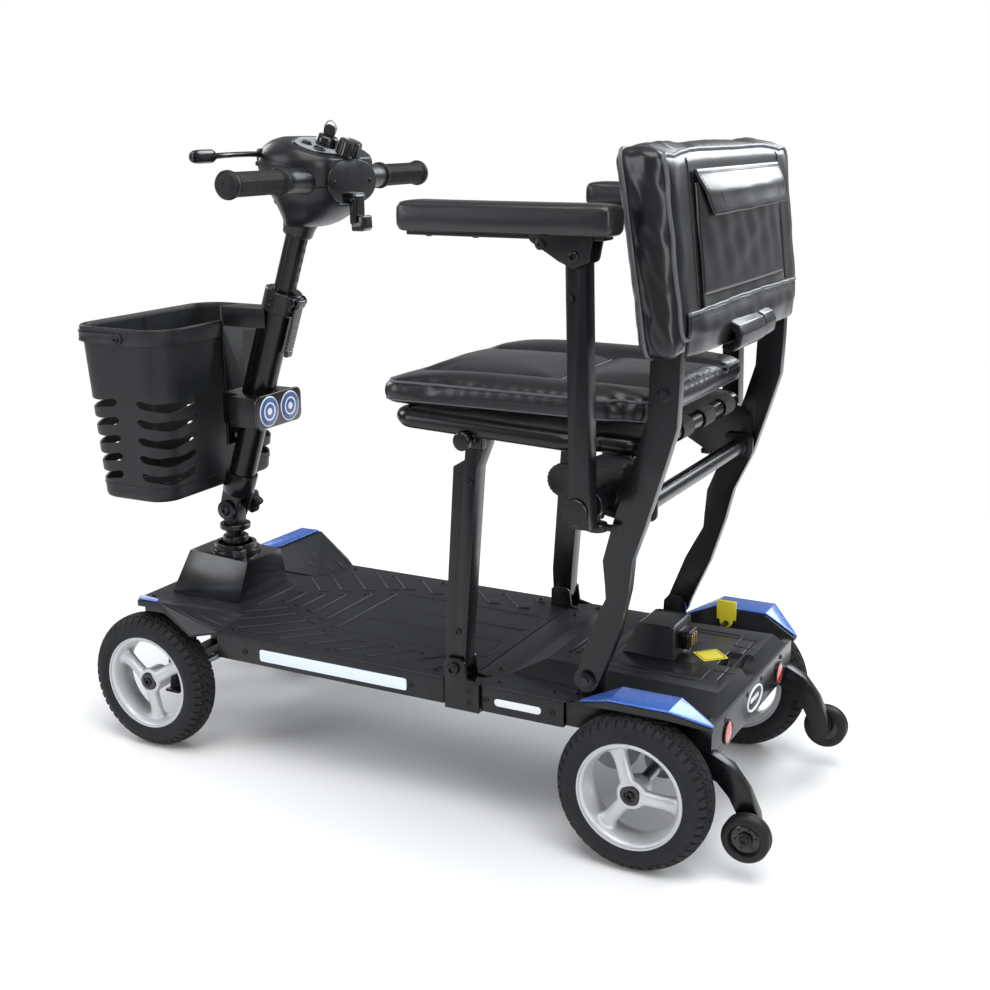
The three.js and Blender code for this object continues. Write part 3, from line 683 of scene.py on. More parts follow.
def metal(name, base, rough, metallic=0.9, cast=0.0):
    """cast adds depth to the surface texture"""
    m = Nodes(name)
    c = m.cloudy(scaled(base, 0.82), scaled(base, 1.1), 22, detail=4, rough=0.6)
    m.set(color=m.specks(c, scaled(base, 0.5), 0.3, (0.58, 0.75), scale=70), metal=metallic,
          rough=m.uneven(80, rough - 0.08, rough + 0.1))
    return m.bump((m.noise(600, detail=3, rough=0.6), 0.08 + cast, 0.0008),
                  (m.noise(140, detail=3), 0.05 + cast, 0.001))


def rim_paint(name, base):
    m = Nodes(name)
    c = m.cloudy(scaled(base, 0.9), scaled(base, 1.06), 16, detail=4, rough=0.6)
    c = m.specks(c, scaled(base, 0.42), 0.35, (0.56, 0.82), scale=45, detail=6, rough=0.72)
    m.set(color=c, metal=0.45, rough=m.uneven(90, 0.34, 0.5), coat=0.25, coat_rough=0.2)
    return m.bump((m.noise(1800, detail=2, rough=0.6), 0.08, 0.0004),
                  (m.noise(160, detail=3), 0.06, 0.001))


def knitted_mesh(name, base, pitch=1.6):
    """open knitted spacer fabric; pitch in mm"""
    m = Nodes(name)
    cells = m.voronoi(1000.0 / pitch * 0.5, "DISTANCE_TO_EDGE", random=0.18)
    holes = m.remap(cells, (0.12, 0.3), (1, 0))
    # the cell middles, low openings in the bump between the threads, are painted darker: painted shade
    # in the openings; the raised threads are lighter
    m.set(color=m.mix(holes, scaled(base, 0.25), scaled(base, 1.5)), rough=0.85, sheen=0.2,
          sheen_rough=0.5, spec=0.25)
    return m.bump((holes, 0.6, 0.0007), (m.noise(2500, detail=2, rough=0.6), 0.2, 0.0003))


def woven(name, base, pitch=1.3):
    """woven threads; pitch in mm"""
    m = Nodes(name)
    x, y, z = (m.bands(1000.0 / pitch / 6.283 * 3.14, axis) for axis in "XYZ")
    weave = m.math("MULTIPLY", m.math("MAXIMUM", x, z), m.math("MAXIMUM", y, 0.25))
    # threads lighter where the weave stands high and darker where it sinks, following the bump:
    # painted shade in the low points of the weave
    m.set(color=m.mix(weave, scaled(base, 0.5), scaled(base, 1.4)), rough=0.8, sheen=0.25, spec=0.3)
    return m.bump((weave, 0.5, 0.0006), (m.noise(3000, detail=2, rough=0.6), 0.2, 0.0002))


def reflector(name, base, cell):
    """regular prisms, cell mm apart, with lighter prism edges as painted highlights and a faint glow
    that is painted light, since a reflector is no lamp
    """
    m = Nodes(name)
    borders = m.voronoi(1000.0 / cell, "DISTANCE_TO_EDGE", random=0.0)
    # lighter prism edges: painted highlight
    c = m.mix(m.remap(borders, (0.0, 0.12), (1, 0)), base, scaled(base, 1.6))
    # the emission is a painted glow
    m.set(color=c, rough=0.12, coat=1.0, coat_rough=0.04, spec=0.7, glow_color=base, glow=0.06)
    return m.bump((m.voronoi(1000.0 / cell, random=0.0), 0.5, 0.001))


def label(name, base, rough, fleck):
    m = Nodes(name)
    c = m.specks(base, scaled(base, 0.55), fleck, (0.5, 0.8), scale=90)
    c = m.specks(c, (0.9, 0.9, 0.9), 0.06, (0.3, 0.8), scale=900, detail=3, rough=0.6)
    m.set(color=c, rough=m.uneven(70, rough - 0.08, rough + 0.1), coat=0.25, coat_rough=0.15)
    return m.bump((m.noise(1100, detail=3), 0.06, 0.0004))


FINISHES = dict(
    frame=(powder_coat("satin_black_powder_coat", (0.0042, 0.0044, 0.0056), rough=0.25, metal=0.12,
                       wear=0.12), "black_frame"),
    black_bolt=(powder_coat("black_zinc_bolts", (0.010, 0.010, 0.012), rough=0.28, metal=0.5,
                            wear=0.4), "steel"),
    deck=(plastic("moulded_deck_plastic", srgb("1a1b1e"), rough=0.42), "deck_plastic"),
    shell=(plastic("moulded_shell_plastic", srgb("141518"), rough=0.36, grain=0.7, scale=1700,
                   coat=0.2), "deck_plastic"),
    basket=(plastic("basket_polypropylene", srgb("191a1c"), rough=0.44, grain=0.7, scale=1300),
            "deck_plastic"),
    gloss=(plastic("gloss_black_plastic", srgb("0d0e10"), rough=0.18, grain=0.15, scale=1700,
                   coat=0.5), "gloss_black"),
    blue=(flake_paint("blue_fender_paint", srgb("3f74d6"), srgb("3263c4"), rough=0.26), "blue_trim"),
    rim=(rim_paint("silver_wheel_paint", srgb("c6c7cb")), "rim_silver"),
    tyre=(rubber("solid_tyre_rubber", srgb("1a1b1d"), rough=0.7, dust=0.25), "tyre_rubber"),
    rubber=(rubber("soft_grip_rubber", srgb("121315"), rough=0.52, dust=0.12), "soft_rubber"),
    leather=(leather("black_leatherette", srgb("0b0c10"), rough=0.32), "black_leatherette"),
    pad_skin=(leather("moulded_pad_skin", srgb("131417"), rough=0.36, pucker=0.2), "soft_rubber"),
    piping=(leather("grey_piping_cord", srgb("4a4c51"), rough=0.42, pucker=0.2),
            "black_leatherette"),
    thread=(woven("bonded_thread", srgb("44464b"), pitch=0.5), "black_leatherette"),
    mesh=(knitted_mesh("spacer_mesh_fabric", srgb("101113")), "black_leatherette"),
    webbing=(woven("woven_webbing", srgb("0f1012")), "black_leatherette"),
    steel=(metal("zinc_plated_steel", srgb("a9abb0"), rough=0.3), "steel"),
    cast=(metal("cast_gearbox_alloy", srgb("7d7f84"), rough=0.5, metallic=0.75, cast=0.12), "steel"),
    panel=(label("silver_grey_panel", srgb("8f9399"), rough=0.36, fleck=0.1), "rim_silver"),
    yellow=(label("yellow_plastic", srgb("ecdc22"), rough=0.4, fleck=0.12), "yellow_plastic"),
    blue_label=(label("blue_sticker", srgb("2b5599"), rough=0.32, fleck=0.08), "blue_trim"),
    white_label=(label("white_sticker", srgb("e9ebee"), rough=0.35, fleck=0.06), "steel"),
    strip=(reflector("reflective_strip", srgb("cfe0f5"), cell=3.2), "steel"),
    red=(reflector("red_reflector", srgb("c01414"), cell=2.4), "steel"),
    brass=(metal("brass_contacts", srgb("c7a95a"), rough=0.3), "steel"),
    cable=(rubber("cable_jacket", srgb("17181a"), rough=0.5, dust=0.1), "gloss_black"),
    blue_grey=(label("blue_grey_strip", srgb("6f7f93"), rough=0.4, fleck=0.1), "steel"),
)


# ------------------------------------------------------------------ chassis
front_bolts = Bag("front_chassis_screws", "front_chassis", "black_bolt")
rear_bolts = Bag("rear_chassis_screws", "rear_chassis", "black_bolt")

for end in ("rear", "front"):
    refine(end + "_deck_pan", "frame", bevel=1.4, segs=3)
for end in ("rear", "front"):
    refine(end + "_deck_cover", "deck", bevel=2.2, segs=3, angle=20, smooth=30)
for _, side in SIDES:
    for end in ("_rear", "_front"):
        refine(side + end + "_fender_trim", "blue", bevel=1.1, segs=3, angle=18, smooth=40)
    refine(side + "_hinge_bracket", "frame", bevel=1.3, segs=3)
    refine(side + "_anti_tip_arm", "frame", bevel=2.6, segs=3, angle=50, smooth=50)
    refine(side + "_knuckle", "frame", bevel=1.0)
refine("tie_rod", "steel", bevel=1.4, segs=3)
refine("transaxle", "cast", bevel=1.6, angle=40)
refine("battery_pack", "shell", bevel=3.2, segs=4, angle=28, smooth=40)
refine("freewheel_lever", "yellow", bevel=0.9)
refine("steering_stem", "frame", bevel=1.0)


def rib(path, z=DECK_Z, r=2.3, h=2.0):
    """a moulded rib along (x, y) points at height z, or along (x, y, z) points"""
    points = fillet([(*p, z)[:3] for p in path], 3.0, 3)
    return tube(points, r, 10, up=(0, 0, 1), ry=h)


def fender_slope(x, t):
    """t from 0 on the ridge to 1 on the rear foot of the front fender"""
    k = (x - 97) / 106.0
    ridge = np.array((x, -692 - 34 * k, 189 + 38 * k))
    run = 14 if x <= 176 else 14 - 26 * (x - 176) / 27.0
    foot = np.array((x, -662 + run * min(1, (x - 98) / 78.0), DECK_Z))
    return ridge + (foot - ridge) * t + np.array((0, 0, 0.2))


def front_deck_ribs():
    ribs = []
    for k in range(6):
        y = -556 + 49 * k
        path = [(156, y - 4), (157, y + 2), (110, y + 48), (115, y + 63)]
        if k == 5:
            path = [(160, y), (146, y + 14), (148, y + 24)]
        ribs += both_sides(rib(path))
    for path in ([(90, -667), (43, -620), (49, -607)], [(120, -652), (60, -592), (65, -578)],
                 [(149, -631), (78, -560), (84, -546)], [(158, -591), (97, -530), (102, -516)]):
        ribs += both_sides(rib(path))
    # cross ribs: the foremost is straight, the others turn forwards at their ends
    ribs.append(rib([(56, -668), (-56, -668)]))
    for y, half in ((-634, 28), (-604, 36), (-574, 47), (-540, 66), (-507, 86)):
        ribs.append(rib([(half - 8, y - 13), (half, y), (-half, y), (8 - half, y - 13)]))
    for s in (1, -1):
        loop = [(s * 27, -488, DECK_Z), (s * 89, -488, DECK_Z), (s * 89, -263, DECK_Z),
                (s * 27, -263, DECK_Z)]
        ribs.append(tube(fillet(loop, 5, 4, True), 1.5, 10, closed=True, up=(0, 0, 1), ry=1.1))
    for s in (1, -1):
        for x, start in ((192, 0.10), (172, 0.08), (150, 0.08), (128, 0.10)):
            ends = fender_slope(x, start), fender_slope(x - 16, 0.93)
            ribs.append(rib([(s * p[0], p[1], p[2]) for p in ends]))
    make("front_deck_tread_ribs", ribs, "deck", "front_chassis")


def rear_deck_lines():
    # y, then x of both ends
    bars = ((-147, -5, 71), (-147, -14, -71), (-138, 7, 69), (-138, -7, -69),
            (-129, 25, 67), (-129, -25, -67))
    lines = [rib([(a, y), (b, y)], BOX_Z) for y, a, b in bars]
    side_line = ((89, -84), (89, 33), (84, 38), (51, 38), (47, 42), (47, 72))
    for s in (1, -1):
        lines.append(rib([(s * x, y) for x, y in side_line], BOX_Z, 1.4, 1.0))
    lines.append(rib([(-89, -86), (-89, -103), (89, -103), (89, -86)], BOX_Z, 1.4, 1.0))
    make("rear_deck_moulded_lines", lines, "deck", "rear_chassis")


def chassis_screws():
    for s in (1, -1):
        for x, y in ((160, -300), (160, -470), (160, -632), (92, -836)):
            front_bolts(screw((s * x, y, DECK_Z - 0.2), (0, 0, 1), 4.6, 1.6))
        for x, y in ((160, -206), (158, -128), (150, 72), (118, -225)):
            rear_bolts(screw((s * x, y, DECK_Z - 0.2), (0, 0, 1), 4.6, 1.6))
        side_heads(front_bolts, s, ((PAN_X, -330, 166, 4.2, 1.8), (PAN_X, -600, 166, 4.2, 1.8)))
        side_heads(rear_bolts, s, (
            (PAN_X, -218, 167, 4.2, 1.8), (PAN_X, -124, 167, 4.2, 1.8), (183.6, -262, 203, 8.6, 3.6),
            (179.8, -240, 160, 4.4, 2.0), (179.8, -240, 176, 4.4, 2.0)))
        side_heads(rear_bolts, s, ((171.8, -82, 216, 7.0, 4.2), (166, 34, 137, 6.0, 4.0),
                                   (166, 66, 137, 6.0, 4.0)), hexbolt)
        for x in (30, 118):
            rear_bolts(screw((s * x, REAR_PANEL_Y, 176), (0, 1, 0), 3.6, 1.4))
        front_bolts(screw((s * 70, -848, 168), (0, -1, 0), 4.2, 1.6))


def strips_and_reflectors():
    for s, side in SIDES:
        strip = plate(round_rect(-574, -336, 157, 174, 3.4), PAN_X, PAN_X + 1, "x", 0.3)
        make(side + "_side_reflective_strip", mirrored(strip, s), "strip", "front_chassis")
        bar = plate(round_rect(-205, -139, 161, 171, 4.6, 6), PAN_X, PAN_X + 0.9, "x", 0.3)
        make(side + "_side_plain_bar", mirrored(bar, s), "white_label", "rear_chassis")
        centre = (s * 108.6, REAR_PANEL_Y, 156)
        lens = [(0, -0.5), (13.9, -0.5), (13.9, 2.2), (10, 3.2), (4.5, 3.8), (0, 4.0)]
        make(side + "_rear_reflector", lathe(lens, centre, (0, 1, 0)), "red", "rear_chassis")
        ring = [(13.8, -1.5), (16.0, -1.5), (16.0, 2.2), (15.3, 3.0), (14.0, 3.0), (13.8, 2.4),
                (13.8, -1.5)]
        make(side + "_rear_reflector_ring", lathe(ring, centre, (0, 1, 0)), "frame", "rear_chassis")


def rear_badge():
    oval = [(30 * math.cos(t), REAR_PANEL_Y + 1, 160.5 + 15 * math.sin(t)) for t in turn(48)]
    bar = round_rect(-17, 17, 157.5, 163.5, 2.9)
    make("rear_plain_badge", [tube(oval, 1.5, 8, closed=True, up=(0, 1, 0)),
                              plate(bar, REAR_PANEL_Y, REAR_PANEL_Y + 1.2, "y", 0.4)],
         "white_label", "rear_chassis")


def transaxle_dress():
    motor_y, motor_z = -72, 104
    gear_y, gear_z = -6, 100
    along = (1, 0, 0)
    parts = []
    for k in range(9):
        fin = [(33.2, -1.1), (36.6, -0.8), (36.6, 0.8), (33.2, 1.1)]
        parts.append(ring_lathe(fin, (-60 + 11 * k, motor_y, motor_z), along, 64))
    cap = [(0, 0), (30, 0), (32.5, 2.5), (33, 8), (36, 9), (36, 13), (0, 13)]
    parts.append(lathe(cap, (84, motor_y, motor_z), along, 64))
    parts.append(lathe(cap, (-74, motor_y, motor_z), (-1, 0, 0), 64))
    for x in (-24, 26):
        flange = [(41, -2.4), (46, -2.0), (46, 2.0), (41, 2.4)]
        parts.append(ring_lathe(flange, (x, gear_y, gear_z), along, 72))
        for k in range(8):
            a = math.radians(45 * k + 12)
            centre = (x, gear_y + 44 * math.cos(a), gear_z + 44 * math.sin(a))
            parts.append(lathe([(0, -4), (3.4, -4), (3.4, 4), (0, 4)], centre, along, 12))
    for s in (1, -1):
        collar = [(20, -3), (24.5, -3), (24.5, 3), (20, 3)]
        parts.append(ring_lathe(collar, (s * 106, 0, AXLE_Z), along, 48))
    make("transaxle_fins_and_flanges", parts, "cast", "rear_chassis")


def wiring():
    rear = Bag("rear_wiring", "rear_chassis", "cable")
    rear(tube(fillet([(40, -92, 124), (46, -120, 134), (60, -170, 147.5), (60, -238, 147.5)], 18),
              3.2, 14),
         tube(fillet([(-30, -100, 122), (-38, -130, 138), (-52, -180, 147), (-52, -238, 147)], 18),
              2.6, 14),
         rbox((-70, -226, 138), (70, -150, 149.6), 3))
    for k in range(5):
        rear(rbox((-60 + 28 * k, -222, 136.6), (-52 + 28 * k, -154, 138.6), 0.8, 2))
    front = Bag("front_wiring", "front_chassis", "cable")
    z = 147.5
    front(tube(fillet([(60, -256, z), (58, -400, z), (30, -640, z), (22, -720, z)], 30), 3.0, 14),
          tube(fillet([(-52, -256, z), (-50, -430, z), (-26, -640, z), (-20, -716, z)], 30), 2.4, 14))
    for y in (-330, -440, -560, -660):
        front(rbox((-60, y - 5, 145), (66, y + 5, 150), 1.2, 2))


def pressed_beads():
    beads = [tube([(s * x, y0, 150), (s * x, y1, 150)], 4.2, 12, up=(0, 0, 1), ry=1.8)
             for s in (1, -1) for y0, y1, x in ((-620, -300, 120), (-610, -310, 88))]
    make("front_pan_pressed_beads", beads, "frame", "front_chassis")


def battery_trim():
    trim = Bag("battery_trim", "battery", "gloss")
    for k in range(6):
        trim(rbox((-11, -18.6, 219 + 3.3 * k), (11, -1.0, 220.6 + 3.3 * k), 0.5, 1))
    trim(rbox((12.8, -16, 218), (16.4, -4, 238), 1.2, 2),
         rbox((-16.4, -16, 218), (-12.8, -4, 238), 1.2, 2))
    seam = fillet([(-31, -66, 249.2), (31, -66, 249.2), (31, -20, 249.2), (-31, -20, 249.2)],
                  6, 5, True)
    trim(tube(seam, 0.9, 8, closed=True, up=(0, 0, 1)))
    pins = [rbox((x - 2.2, -2.2, 221), (x + 2.2, -0.4, 235), 0.6, 2) for x in (-8, 0, 8)]
    make("battery_contacts", pins, "brass", "battery")
    half, y = 25.0, 22
    diamond = round_poly([(0, y - half), (half, y), (0, y + half), (-half, y)], 3, 4)
    make("plain_yellow_diamond_label", plate(diamond, BOX_Z + 0.2, BOX_Z + 0.9, "z", 0.25, 1),
         "yellow", "battery")
    border = [(p[0] * 0.84, y + (p[1] - y) * 0.84, BOX_Z + 0.95) for p in diamond]
    make("diamond_label_border", tube(border, 0.55, 6, closed=True, up=(0, 0, 1), ry=0.25),
         "frame", "battery")


front_deck_ribs()
rear_deck_lines()
chassis_screws()
strips_and_reflectors()
rear_badge()
transaxle_dress()
wiring()
pressed_beads()
battery_trim()
make("freewheel_lever_grip_lines",
     [rbox((-160.9, -20, 213 + 3.4 * k), (-156.1, 2, 214.3 + 3.4 * k), 0.5, 1) for k in range(5)],
     "yellow", "freewheel")
rear_bolts(screw((-161.2, -9, 197), (-1, 0, 0), 4.6, 2.2))  # freewheel lever pivot


# ------------------------------------------------------------------ wheels
REAR_WHEEL_X, FRONT_WHEEL_X = 202.6, 183.0


def step(x, a, b):
    """smooth step from 0 at a to 1 at b"""
    t = np.clip((x - a) / (b - a), 0, 1)
    return t * t * (3 - 2 * t)


def tyre(x, y, out, steps=576, cells=48):
    """tyre with siped shoulder blocks and a zig-zag centre; out=+1 if its outer side faces +x"""
    wall = [(68.2 + 22.5 * t, 20.6 + 4.4 * math.sin(math.pi * (t * 0.92 + 0.04)) ** 0.8)
            for t in np.linspace(0, 1, 12)[:-1]]
    tread = [(min(WHEEL_R - 0.05, WHEEL_R - 9.5 * (abs(u) / 22.5) ** 2.6), u)
             for u in np.linspace(-22.5, 22.5, 47)]
    profile = np.array([(r, -u) for r, u in wall] + tread + wall[::-1])
    m = len(profile)
    R = np.repeat(profile[None, :, 0], steps, 0)
    U = np.repeat(profile[None, :, 1], steps, 0)
    angle = np.repeat((np.arange(steps) * 2 * math.pi / steps)[:, None], m, 1)
    phase = (angle * cells / (2 * math.pi)) % 1.0
    half_phase = (angle * cells / (2 * math.pi) + 0.5) % 1.0
    from_centre, side = np.abs(U), np.sign(U)
    # shoulder grooves, staggered between the two sides
    p = np.where(side > 0, phase, half_phase)
    groove = (1 - step(np.abs(p - 0.5), 0.10, 0.17)) * step(from_centre, 12.6, 13.8)
    # zig-zag circumferential grooves
    zigzag = np.abs(phase - 0.5) * 4 - 1
    for centre, width in ((4.6, 1.0), (-4.6, 1.0), (12.2, 1.1), (-12.2, 1.1)):
        line = centre + 2.1 * zigzag * (1 if centre > 0 else -1)
        groove = np.maximum(groove, 1 - step(np.abs(U - line), width * 0.75, width * 1.45))
    # short sipes through the middle blocks
    sipe = 1 - step(np.abs(half_phase - 0.5), 0.04, 0.10)
    sipe = sipe * (1 - step(np.abs(from_centre - 8.4), 1.8, 2.8))
    groove = np.maximum(groove, sipe * 0.8)
    R = R - 2.9 * groove * step(R, 88.5, 91.0)
    # side wall: two fine rings and a radial knurl below the shoulder
    rings = 0.45 * (1 - step(np.abs(R - 76), 0.5, 1.2)) + 0.45 * (1 - step(np.abs(R - 80), 0.5, 1.2))
    rings = rings * (1 - step(R, 86.0, 88.0))
    knurl = 0.55 * (1 - step(np.abs(p - 0.5), 0.22, 0.32))
    knurl = knurl * step(R, 85.5, 87.5) * (1 - step(R, 90.0, 91.5)) * (from_centre > 21)
    U = U + side * np.where(from_centre > 20, rings - knurl, 0)
    verts = np.stack([x + U * out, y + R * np.cos(angle), AXLE_Z + R * np.sin(angle)], -1)
    return verts.reshape(-1, 3), revolved_faces(steps, m)


def spoke(x, y, out, degrees, rows=18, m=20):
    """a bar from the hub to the rim whose section widens at both ends"""
    c, s = math.cos(math.radians(degrees)), math.sin(math.radians(degrees))
    verts = []
    for i in range(rows + 1):
        t = i / rows
        r = 10 + 50.5 * t
        height = 9.5 - 7.5 * math.sin(t * math.pi * 0.5) ** 1.6
        half_width = 8.6 + 1.6 * (1 - t) ** 2 + 7.5 * t ** 6
        half_depth = 6.6 + 1.2 * (1 - t) + 3.0 * t ** 5
        for q in range(m):
            b = 2 * math.pi * q / m
            du = half_width * signed_pow(math.cos(b), 0.85)
            dh = half_depth * signed_pow(math.sin(b), 0.9)
            verts.append((x + out * (height + dh), y + r * c - du * s, AXLE_Z + r * s + du * c))
    return np.array(verts), loft_faces(rows + 1, m, caps=True)


def rim_solid(x, y, out, degrees):
    """deep dished rim with three round spokes, before blending"""
    centre, axis = (x, y, AXLE_Z), (out, 0, 0)
    ring = [(60.8, -19.6), (67.2, -20.4), (67.6, -20.4), (67.6, 20.4), (67.2, 21.0), (64.6, 21.2),
            (62.2, 19.0), (60.0, 13.5), (58.2, 6), (57.6, -2), (58.2, -10)]
    hub = [(0, -14), (17.5, -14), (17.5, 6), (18.6, 10), (19.0, 13), (17.6, 15), (13, 15), (0, 15)]
    return merge(ring_lathe(ring, centre, axis, 120), lathe(hub, centre, axis, 72),
                 *[spoke(x, y, out, degrees + 120 * k) for k in range(3)])


def wheel(corner, x, y, degrees):
    """corner is side and end; degrees turns the first spoke"""
    out = 1 if x > 0 else -1
    body, rim = corner + "_wheel", corner + "_rim"
    centre, axis = (x, y, AXLE_Z), (out, 0, 0)
    make(corner + "_tyre_tread", tyre(x, y, out), "tyre", body, 30, (corner + "_tyre",))
    ob = raw(rim + "_cast", rim_solid(x, y, out, degrees))
    modify(ob, "REMESH", mode="VOXEL", voxel_size=1.5 * MM, use_smooth_shade=True)
    modify(ob, "SMOOTH", iterations=9, factor=0.55)
    finish_object(ob, "rim", body, 180, (rim,))
    cap = [(0, 12), (13.4, 12), (13.6, 15.2), (12.6, 16.8), (10.0, 17.6), (7.4, 17.4),
           (7.0, 15.6), (0, 15.6)]
    Bag(rim + "_hub_cap", body, "gloss")(lathe(cap, centre, axis, 60))
    axle_bolt = [(0, 15.4), (5.6, 15.4), (5.6, 18.6), (5.0, 19.4), (3.4, 19.4), (3.2, 16.6),
                 (0, 16.4)]
    Bag(rim + "_axle_bolt", body, "black_bolt")(lathe(axle_bolt, centre, axis, 36, (4, 5)))
    lips = ([(66.4, 20.2), (68.4, 20.4), (69.0, 21.6), (68.0, 22.6), (66.2, 22.2)],
            [(66.4, -21.8), (68.0, -22.4), (69.0, -21.6), (68.4, -20.4), (66.4, -20.2)])
    Bag(rim + "_bead_lip", body, "rim")(*[ring_lathe(lip, centre, axis, 144) for lip in lips])
    inner = Bag(rim + "_inner_hub", body, "steel")
    if "rear" in corner:
        boss = [(0, 0), (13.5, 0), (13.5, 7), (10, 9), (0, 9)]
        inner(cyl((out * 104, y, AXLE_Z), (x - out * 12, y, AXLE_Z), 8, bev=0.8),
              lathe(boss, (x - out * 22, y, AXLE_Z), axis, 40))
    else:
        washer = [(8.4, 0), (13.5, 0), (13.5, 4.5), (8.4, 4.5)]
        inner(ring_lathe(washer, (x - out * 18.6, y, AXLE_Z), axis, 48))


wheel("left_rear", REAR_WHEEL_X, 0, degrees=113)
wheel("right_rear", -REAR_WHEEL_X, 0, degrees=52)
wheel("left_front", FRONT_WHEEL_X, FRONT_AXLE_Y, degrees=32)
wheel("right_front", -FRONT_WHEEL_X, FRONT_AXLE_Y, degrees=80)


def anti_tip_wheel(s, side, y=135, z=60):
    body, axis, centre = side + "_anti_tip", (s, 0, 0), (s * 182, y, z)
    tread = [(19, -10.6), (26, -10.8), (28.6, -9.2), (29.9, -6.4), (29.95, -2.2), (29.2, -1.4),
             (29.2, 1.4), (29.95, 2.2), (29.9, 6.4), (28.6, 9.2), (26, 10.8), (20.5, 10.6), (19, 8)]
    make(side + "_anti_tip_wheel_tread", ring_lathe(tread, centre, axis), "rubber", body, 34,
         (side + "_anti_tip_wheel",))
    hub = [(5.4, -10), (18.8, -9.4), (19.6, 0), (19.6, 8.6), (17.6, 9.8), (16.6, 6.2), (9.6, 5.2),
           (8.4, 8.2), (5.4, 8.2)]
    parts = [ring_lathe(hub, centre, axis, 72)]
    for k in range(6):
        t = math.radians(60 * k + 10)
        yz = (y + 12.8 * math.cos(t), z + 12.8 * math.sin(t))
        parts.append(cyl((s * 187.4, *yz), (s * 189.0, *yz), 1.7, 16, bev=0.4))
    make(side + "_anti_tip_hub", parts, "gloss", body)
    rear_bolts(screw((s * 190.6, y, z), axis, 6.8, 2.6))


def steering_fasteners():
    pin_x, rod_y = 138, -711
    for s, side in SIDES:
        x = s * pin_x
        bag = Bag(side + "_knuckle_fasteners", side + "_steer", "steel")
        bag(hexbolt((x, FRONT_AXLE_Y, 130), (0, 0, 1), 6.0, 3.8),
            cyl((x, rod_y + 0.4, 111.6), (x, rod_y + 0.4, 112.4), 5.4, 24),
            hexbolt((x, FRONT_AXLE_Y, 69.8), (0, 0, -1), 6.0, 3.6))
    ends = Bag("tie_rod_ends", "rod", "steel")
    joint = [(0, 0), (8.6, 0), (9.4, 2), (9.4, 6), (8.6, 7.6), (0, 7.6)]
    for s in (1, -1):
        ends(hexbolt((s * pin_x, rod_y, 120.2), (0, 0, 1), 5.2, 3.6),
             lathe(joint, (s * pin_x, rod_y, 112.7), (0, 0, 1), 32),
             cyl((s * 96, rod_y, 116.5), (s * 112, rod_y, 116.5), 6.4, 6, bev=0.5))


for s, side in SIDES:
    anti_tip_wheel(s, side)
steering_fasteners()


# ------------------------------------------------------------------ helpers on finished surfaces
def bvh(ob):
    me = ob.data
    return BVHTree.FromPolygons([v.co.copy() for v in me.vertices],
                                [tuple(p.vertices) for p in me.polygons])


def cling(tree, pts, dirs, off=0.0):
    """points dropped on a surface along dirs (one, or one for each), lifted by off"""
    out = []
    single = np.asarray(dirs, float).ndim == 1
    for i, p in enumerate(pts):
        d = Vector(dirs if single else dirs[i]).normalized()
        hit, normal, _, _ = tree.ray_cast(Vector(world([p])[0]), d, 1.0)
        if hit is None:
            continue
        if normal.dot(d) > 0:
            normal = -normal
        q = hit + normal * (off * MM)
        out.append((q.x * 1000, q.y * 1000 - REAR_AXLE_Y, q.z * 1000))
    return out


def arc_sampler(points):
    """length of a polyline, and a function from arc length to (point, tangent)"""
    P = np.array(points, float)
    seg = np.linalg.norm(np.diff(P, axis=0), axis=1)
    cum = np.concatenate([[0], np.cumsum(seg)])

    def at(s):
        i = min(len(seg) - 1, int(np.searchsorted(cum, s, "right") - 1))
        d = (P[i + 1] - P[i]) / (seg[i] or 1)
        return P[i] + d * (s - cum[i]), d
    return cum[-1], at


def stitches(pts, length=3.2, gap=1.5):
    """a run of thread stitches along a polyline"""
    if len(pts) < 2:
        return []
    total, at = arc_sampler(pts)
    out, s = [], 0.5
    while s + length < total:
        out.append(tube([at(s + length * k)[0] for k in (0, 0.5, 1)], 0.42, 6))
        s += length + gap
    return out


def press_groove(ob, co, no, width, depth):
    """a parting line pressed into a mesh along a plane"""
    c, n = Vector(world([co])[0]), Vector(no).normalized()
    bm = bmesh.new()
    bm.from_mesh(ob.data)
    for k in (-1, 0, 1):
        bmesh.ops.bisect_plane(bm, geom=list(bm.verts) + list(bm.edges) + list(bm.faces),
                               dist=1e-6, plane_co=c + n * (k * width * 0.5 * MM), plane_no=n)
    bm.normal_update()
    middle = [(v, v.normal.copy()) for v in bm.verts if abs((v.co - c).dot(n)) < 2e-5]
    for v, normal in middle:
        v.co -= normal * (depth * MM)
    bm.to_mesh(ob.data)
    bm.free()
    ob.data.update()


def inside_poly(P, x, y):
    inside = False
    j = len(P) - 1
    for i in range(len(P)):
        if (P[i][1] > y) != (P[j][1] > y):
            if x < (P[j][0] - P[i][0]) * (y - P[i][1]) / (P[j][1] - P[i][1]) + P[i][0]:
                inside = not inside
        j = i
    return inside


